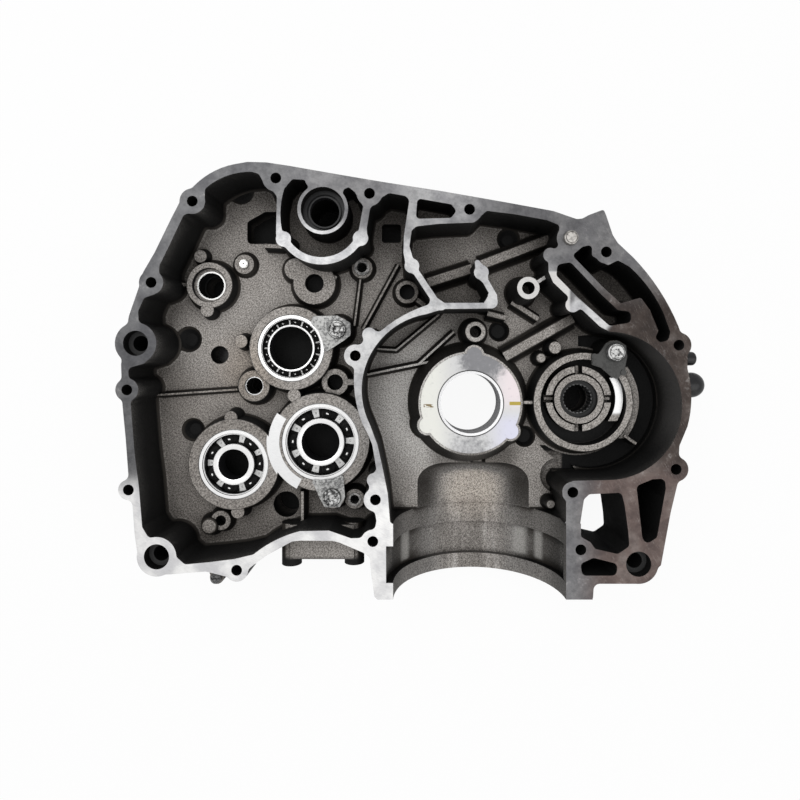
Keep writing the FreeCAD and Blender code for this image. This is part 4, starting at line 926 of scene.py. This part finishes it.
@dataclass
class BallBearing:
    """One rolling bearing of the gearbox: two rings and a riveted cage round its balls.

    Attributes:
        key: Start of the names of its nodes and bodies.
        balls: How many balls it has.
        ball: Radius of a ball.
        pitch: Radius of the circle of balls.
        bore: Radius of the bore.
        shoulder: Width of the outer ring's step.
        land: Half the length of the bright land between two balls.
        first: Turn of the first ball, in shares of the circle.
    """

    key: str
    balls: int
    ball: float
    pitch: float
    bore: float
    shoulder: float
    land: float
    first: float

    def __post_init__(self) -> None:
        """Read the seat from the model."""
        low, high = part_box(self.key + "_outer_ring")
        self.middle = (low + high) / 2
        self.outer = (high.x - low.x) / 2
        self.width = high.z - low.z
        reach = self.ball * TRACK_SHARE
        self.land_in = self.pitch - reach
        self.land_out = self.pitch + reach

    def groove(self, land: float, sign: float) -> list[tuple[float, float]]:
        """Arc of the ball track on a ring's land, from its top end down.

        Args:
            land: Radius of the land.
            sign: 1 on the outer ring, -1 on the inner ring.

        Returns:
            Profile points with heights from mid-width.
        """
        radius = self.ball + 0.1 * MM
        reach = (land - self.pitch) * sign
        start = math.acos(min(1.0, reach / radius))
        angles = [start * (1 - step / 3.0) for step in range(7)]
        return [(self.pitch + sign * radius * math.cos(angle), radius * math.sin(angle))
                for angle in angles]

    def outer_ring(self, steel: bpy.types.Material) -> None:
        """Outer ring with a stepped inner shoulder."""
        half = self.width / 2
        edge = 0.6 * MM
        step = self.shoulder
        ledge = half - 0.7 * MM
        profile = [(self.outer, half - edge), (self.outer - edge, half),
                   (self.land_out + step, half), (self.land_out + step - 0.25 * MM, ledge),
                   (self.land_out + 0.3 * MM, ledge), (self.land_out, half - 1.1 * MM)]
        profile += self.groove(self.land_out, 1.0)
        profile += [(self.land_out, -half), (self.outer - edge, -half), (self.outer, -half + edge)]
        shaper = Shaper(self.key + "_ring_outer")
        shaper.revolve(profile, self.middle)
        shaper.finish("case", steel, "bearing_steel", [self.key + "_outer_ring"])

    def inner_ring(self, steel: bpy.types.Material) -> None:
        """Inner ring with a rounded bore edge."""
        half = self.width / 2
        edge = 0.5 * MM
        profile = [(self.bore, half - edge), (self.bore + edge * 0.4, half - edge * 0.3),
                   (self.bore + edge, half), (self.land_in - 0.3 * MM, half),
                   (self.land_in, half - 0.3 * MM)]
        profile += self.groove(self.land_in, -1.0)
        profile += [(self.land_in, -half), (self.bore + edge, -half), (self.bore, -half + edge)]
        shaper = Shaper(self.key + "_ring_inner")
        shaper.revolve(profile, self.middle)
        shaper.finish(self.key + "_race", steel, "bearing_steel", [self.key + "_inner_ring"])

    def cage(self, steel: bpy.types.Material) -> None:
        """Pressed cage of two ribbons that bulge over each ball, with rivets between."""
        band = self.ball * 0.70
        shell = self.ball + 0.12 * MM
        sheet = 0.35 * MM
        share = 2 * math.pi / self.balls
        shaper = Shaper(self.key + "_ribbon_cage")
        mesh = shaper.mesh
        layer = mesh.verts.layers.float.new(LAND)
        for side in Side:
            for lift in (0.05 * MM, 0.05 * MM + sheet):
                for vert in self.washer(mesh, band):
                    flat = vert.co - self.middle
                    radius = math.hypot(flat.x, flat.y)
                    step = math.atan2(flat.y, flat.x) / share - self.first
                    turn = (step - round(step)) * share
                    along = radius * math.cos(turn) - self.pitch
                    across = radius * math.sin(turn)
                    reach = (shell + lift) ** 2 - along * along - across * across
                    rise = max(math.sqrt(max(reach, 0.0)), lift)
                    vert.co.z = self.middle.z + side.value * rise
                    gap = (share / 2 - abs(turn)) * self.pitch
                    # Painted highlight: the crest of each bulge is marked bright.
                    crest = math.hypot(across, along) < 0.2 * self.ball
                    vert[layer] = 1.0 if gap < self.land or crest else 0.0
        self.rivets(mesh, layer, share, sheet)
        shaper.finish(self.key + "_cage_set", steel, "cage_dark", [self.key + "_cage"], 60.0)

    def washer(self, mesh: bmesh.types.BMesh, band: float) -> list[bmesh.types.BMVert]:
        """Flat ring over the circle of balls, fine enough to be bent.

        Args:
            mesh: Where it is added.
            band: Half its width.

        Returns:
            The new vertices.
        """
        before = set(mesh.verts)
        parts = 6
        row = []
        for part in range(parts + 1):
            radius = self.pitch - band + 2 * band * part / parts
            row.append(mesh.verts.new(self.middle + Vector((radius, 0, 0))))
        edges = [mesh.edges.new(pair) for pair in zip(row, row[1:])]
        bmesh.ops.spin(mesh, geom=row + edges, cent=self.middle, axis=(0, 0, 1),
                       angle=2 * math.pi, steps=self.balls * BALL_FACETS, use_merge=True)
        fresh = [vert for vert in mesh.verts if vert not in before]
        bmesh.ops.remove_doubles(mesh, verts=fresh, dist=TINY)
        return [vert for vert in mesh.verts if vert not in before]

    def rivets(self, mesh: bmesh.types.BMesh, layer: Any, share: float, sheet: float) -> None:
        """Domed rivet through the lands between the balls.

        Args:
            mesh: Where they are added.
            layer: Layer that marks bright lands.
            share: Angle between two balls.
            sheet: Thickness of the ribbon.
        """
        head = self.ball * 0.20
        for number in range(self.balls):
            angle = share * (number + 0.5 + self.first)
            spot = Vector((self.pitch * math.cos(angle), self.pitch * math.sin(angle), 0))
            made = bmesh.ops.create_uvsphere(mesh, u_segments=12, v_segments=8, radius=head)
            bmesh.ops.scale(mesh, vec=(1.0, 1.0, 0.55 + sheet / head), verts=made["verts"])
            bmesh.ops.translate(mesh, vec=self.middle + spot, verts=made["verts"])
            for vert in made["verts"]:
                vert[layer] = 1.0


@dataclass(frozen=True)
class Fittings:
    """Small turned fittings: the retainers' screws, the locating pin and the oil jet.

    Profiles give radius and height from the top, in millimetres.
    """

    socket: float = 2.3
    socket_depth: float = 2.0
    lobe: float = 0.17
    screw: tuple[tuple[float, float], ...] = (
        (0.0, -2.0), (2.07, -2.0), (2.3, -0.25), (2.6, 0.0), (4.25, 0.0), (4.45, -0.75),
        (4.75, -0.8), (4.95, -0.45), (5.55, -0.6), (6.0, -1.5), (6.0, -3.6),
        (3.0, -3.6), (3.0, -15.6), (0.0, -15.6))
    screws: tuple[tuple[float, float, float], ...] = (
        (-88.4, 48.9, 1.2), (-91.6, -62.1, 1.2), (95.5, 33.7, 3.2))
    pin: tuple[tuple[float, float], ...] = (
        (0.0, 0.0), (3.1, -0.1), (3.4, -0.7), (3.7, -0.75), (3.9, -0.35), (4.3, -0.6), (4.6, -1.3))
    jet: tuple[tuple[float, float], ...] = (
        (0.55, 0.0), (2.3, 0.0), (2.45, -0.4), (2.75, -0.4), (3.2, -0.9), (3.2, -2.3), (2.4, -2.3))

    def lobes(self, made: list[bmesh.types.BMVert], place: Vector) -> None:
        """Turn a screw's round socket to a six-lobed one.

        Args:
            made: The screw's vertices.
            place: Top of its head.
        """
        for vert in made:
            arm = (vert.co - place).to_2d()
            inside = TINY < arm.length < (self.socket + 0.1) * MM
            if inside and vert.co.z > place.z - (self.socket_depth + 0.2) * MM:
                arm *= 1 + self.lobe * math.cos(6 * math.atan2(arm.y, arm.x))
                vert.co.x, vert.co.y = place.x + arm.x, place.y + arm.y

    def turned(self, node: str, profile: Sequence[tuple[float, float]], steps: int,
               material: bpy.types.Material, slot: str) -> None:
        """Turned piece in place of a plain node, down to the node's foot.

        Args:
            node: The node.
            profile: From the middle of the top to the shank.
            steps: Facets round the axis.
            material: Its finish.
            slot: Name of a material slot, passed on to the piece.
        """
        low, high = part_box(node)
        shaper = Shaper(node + "_turned")
        outline = lengths(profile)
        outline += [(radius, low.z - high.z) for radius in (outline[-1][0], outline[0][0])]
        shaper.revolve(outline, (*axis_of(node), high.z), steps)
        shaper.finish("case", material, slot, [node])

    def build(self) -> None:
        """Make the pieces and put them in place of the plain nodes."""
        shaper = Shaper("retainer_screw_set")
        for spot in self.screws:
            place = Vector(spot) * MM
            self.lobes(shaper.revolve(lengths(self.screw), place, 72), place)
        zinc = SpeckledMetal("zinc_screw", grey(0.02), (0.62, 0.62, 0.61), 560.0, 0.35, 0.42, 0.12)
        shaper.finish("case", zinc.build(), "screw_zinc", ["retainer_screws"])
        steel = SpeckledMetal("pin_metal", (0.16, 0.15, 0.14), (0.50, 0.48, 0.45),
                              380.0, 0.3, 0.4, 0.05)
        self.turned("locating_pin", self.pin, 64, steel.build(), "pin_steel")
        brass = TurnedSteel("jet_metal", axis_of("oil_jet"), (0.80, 0.79, 0.76), grey(0.05))
        self.turned("oil_jet", self.jet, 48, brass.build(), "jet_brass")


@dataclass
class Studio:
    """Floor, lamps, world and the camera at the photograph's place."""

    eye: tuple[float, float, float] = (-0.040, 0.0287, 0.359)
    lens: float = 24.5
    shift: tuple[float, float] = (-0.0125, -0.05)
    ambient: float = 0.55
    glow: float = 0.93
    key_power: float = 9.0
    fill_power: float = 6.0

    def floor(self, height: float) -> None:
        """Pale floor that keeps the shadow and shows white to the camera.

        Args:
            height: Level of the floor.
        """
        mesh = bmesh.new()
        bmesh.ops.create_circle(mesh, cap_ends=True, segments=96, radius=4.0)
        bmesh.ops.translate(mesh, vec=(0, 0, height), verts=mesh.verts[:])
        data = bpy.data.meshes.new("floor")
        mesh.to_mesh(data)
        mesh.free()
        plane = bpy.data.objects.new("floor", data)
        bpy.context.scene.collection.objects.link(plane)
        plane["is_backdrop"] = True
        board = Board(bpy.data.materials.new("floor_paint"))
        rays = board.add("ShaderNodeLightPath")
        seen = Signal(board, rays.outputs["Is Camera Ray"])
        cast = board.noise(board.place(), 8.0, 2.0, 0.5)
        tone = board.mix(cast, grey(0.80), grey(0.83))
        matt = board.add("ShaderNodeBsdfDiffuse", None, {0: tone})
        lit = board.add("ShaderNodeEmission", None, {0: grey(1.0), 1: 1.0})
        shaders = (Signal(board, matt.outputs[0]), Signal(board, lit.outputs[0]))
        both = board.add("ShaderNodeMixShader", None,
                         {0: seen * self.glow, 1: shaders[0], 2: shaders[1]})
        board.add("ShaderNodeOutputMaterial", None, {0: Signal(board, both.outputs[0])})
        data.materials.append(board.owner)

    def lamp(self, name: str, place: Sequence[float], size: float, power: float) -> None:
        """Square area lamp aimed at the part.

        Args:
            name: The lamp's name.
            place: Where it hangs.
            size: Side in metres.
            power: Watts.
        """
        data = bpy.data.lights.new(name, "AREA")
        data.shape = "SQUARE"
        data.size = size
        data.energy = power
        lamp = bpy.data.objects.new(name, data)
        lamp.location = place
        target = Vector((self.eye[0], self.eye[1], 0.0))
        lamp.rotation_euler = (target - Vector(place)).to_track_quat("-Z", "Y").to_euler()
        bpy.context.scene.collection.objects.link(lamp)

    def world(self) -> None:
        """Pale surroundings: soft light on the part, white behind it and in its reflections."""
        world = bpy.data.worlds.new("studio")
        bpy.context.scene.world = world
        board = Board(world)
        rays = board.add("ShaderNodeLightPath")
        seen, glossy, through = (
            Signal(board, rays.outputs["Is %s Ray" % kind])
            for kind in ("Camera", "Glossy", "Transmission"))
        plain = seen.over(glossy).over(through)
        level = board.add("ShaderNodeMapRange", None, {0: plain, 3: self.ambient, 4: 1.0})
        back = board.add("ShaderNodeBackground", None,
                         {0: grey(1.0), 1: Signal(board, level.outputs[0])})
        board.add("ShaderNodeOutputWorld", None, {0: Signal(board, back.outputs[0])})

    def camera(self) -> None:
        """Camera that looks straight down, as in the photograph."""
        data = bpy.data.cameras.new("camera")
        data.sensor_width = 36.0
        data.lens = self.lens
        data.shift_x, data.shift_y = self.shift
        data.clip_start = 0.01
        camera = bpy.data.objects.new("camera", data)
        camera.location = self.eye
        bpy.context.scene.collection.objects.link(camera)
        bpy.context.scene.camera = camera

    def build(self, ground: float) -> None:
        """Set up the whole studio.

        Args:
            ground: Lowest level of the part.
        """
        bpy.context.scene.view_settings.view_transform = "Standard"
        self.camera()
        self.world()
        self.floor(ground - 0.2 * MM)
        self.lamp("key", (-0.55, 0.55, 1.25), 1.0, self.key_power)
        self.lamp("fill", (0.60, -0.30, 1.30), 1.2, self.fill_power)


@dataclass
class Wardrobe:
    """Finishes for the model's own nodes."""

    nodes: dict[str, bpy.types.Object]

    def wear(self, material: bpy.types.Material, *names: str) -> None:
        """Give nodes a material.

        Args:
            material: The finish.
            names: The nodes.
        """
        for name in names:
            node = self.nodes[name]
            node.data.materials.clear()
            node.data.materials.append(material)

    def dress(self) -> None:
        """Give every node its finish."""
        black = grey(0.006)
        finishes = (
            (CastAlloy(), "crankcase_casting"),
            (InsertSteel(), "crank_bearing_insert"),
            (TurnedSteel("shell_steel", (0.0, 0.0), (0.70, 0.70, 0.71), (0.42, 0.42, 0.43)),
             "crank_shell_upper", "crank_shell_lower"),
            (TurnedSteel("cup_steel", axis_of("balance_bearing_cup"), black, grey(0.004), 0.1, 0.5),
             "balance_bearing_cup"),
            (SpeckledMetal("dark_cage", grey(0.015), grey(0.055)),
             "balance_needle_cage", "input_cage", "output_cage", "layshaft_cage"),
            (SpeckledMetal("needle_steel", grey(0.005), grey(0.12), 1500.0, 0.2, 0.4),
             "balance_needles"),
            (TurnedSteel("drum_bush_steel", axis_of("selector_drum_bush"),
                         (0.55, 0.55, 0.54), grey(0.008)), "selector_drum_bush"),
            (TurnedSteel("fork_sleeve_steel", axis_of("fork_shaft_sleeve"),
                         grey(0.60), grey(0.012)), "fork_shaft_sleeve"),
            (SpeckledMetal("tube_steel", grey(0.05), (0.30, 0.29, 0.28)),
             "breather_tube", "return_tube"),
            (SpeckledMetal("zinc_plate", grey(0.12), (0.44, 0.44, 0.43), 560.0, 0.25, 0.46),
             "input_retainer", "output_retainer"),
            (SpeckledMetal("dark_plate", (0.016, 0.016, 0.015), (0.042, 0.042, 0.040),
                           700.0, 0.2, 0.5), "balance_retainer"),
            (SpeckledMetal("blind_plug", black, grey(0.018)), "gallery_plug"),
            (BlackMoulding("seal_rubber", (0.014, 0.014, 0.015), 0.5), "selector_seal"),
            (SpeckledMetal("dark_screw", grey(0.030), grey(0.16)), "lug_screw"),
            (BlackMoulding("black_moulding", (0.003, 0.003, 0.004), 0.30),
             "side_plug", "cable_clip"),
            (BallSteel(), "input_balls", "output_balls", "layshaft_balls"),
        )
        for finish, *names in finishes:
            self.wear(finish.build(), *names)
        for key in ("input", "output", "layshaft"):
            ring = TurnedSteel(key + "_ring_steel", axis_of(key + "_outer_ring"),
                               grey(0.86), (0.012, 0.012, 0.013))
            self.wear(ring.build(), key + "_outer_ring", key + "_inner_ring")


def make_bearings() -> None:
    """Build the three ball bearings in detail."""
    cage = CageSteel().build()
    bearings = (
        BallBearing("input", balls=13, ball=2.4 * MM, pitch=17.55 * MM, bore=14.2 * MM,
                    shoulder=0.7 * MM, land=0.55 * MM, first=0.0),
        BallBearing("output", balls=7, ball=4.1 * MM, pitch=19.1 * MM, bore=12.5 * MM,
                    shoulder=1.0 * MM, land=2.4 * MM, first=0.5),
        BallBearing("layshaft", balls=7, ball=3.9 * MM, pitch=16.8 * MM, bore=10.0 * MM,
                    shoulder=1.0 * MM, land=2.1 * MM, first=0.0),
    )
    for bearing in bearings:
        centre = (bearing.middle.x, bearing.middle.y)
        steel = TurnedSteel(bearing.key + "_ground_steel", centre, grey(0.88),
                            (0.010, 0.010, 0.011)).build()
        bearing.outer_ring(steel)
        bearing.inner_ring(steel)
        bearing.cage(cage)


def main() -> None:
    """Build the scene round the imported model."""
    logging.basicConfig(level=logging.INFO, format="%(message)s")
    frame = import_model()
    cad_low, cad_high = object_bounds()
    LOG.info("nodes: %d", len(frame["nodes"]))
    Studio().build(cad_low.z)
    Wardrobe(frame["nodes"]).dress()
    make_bearings()
    Fittings().build()


if __name__ == "__main__":
    main()
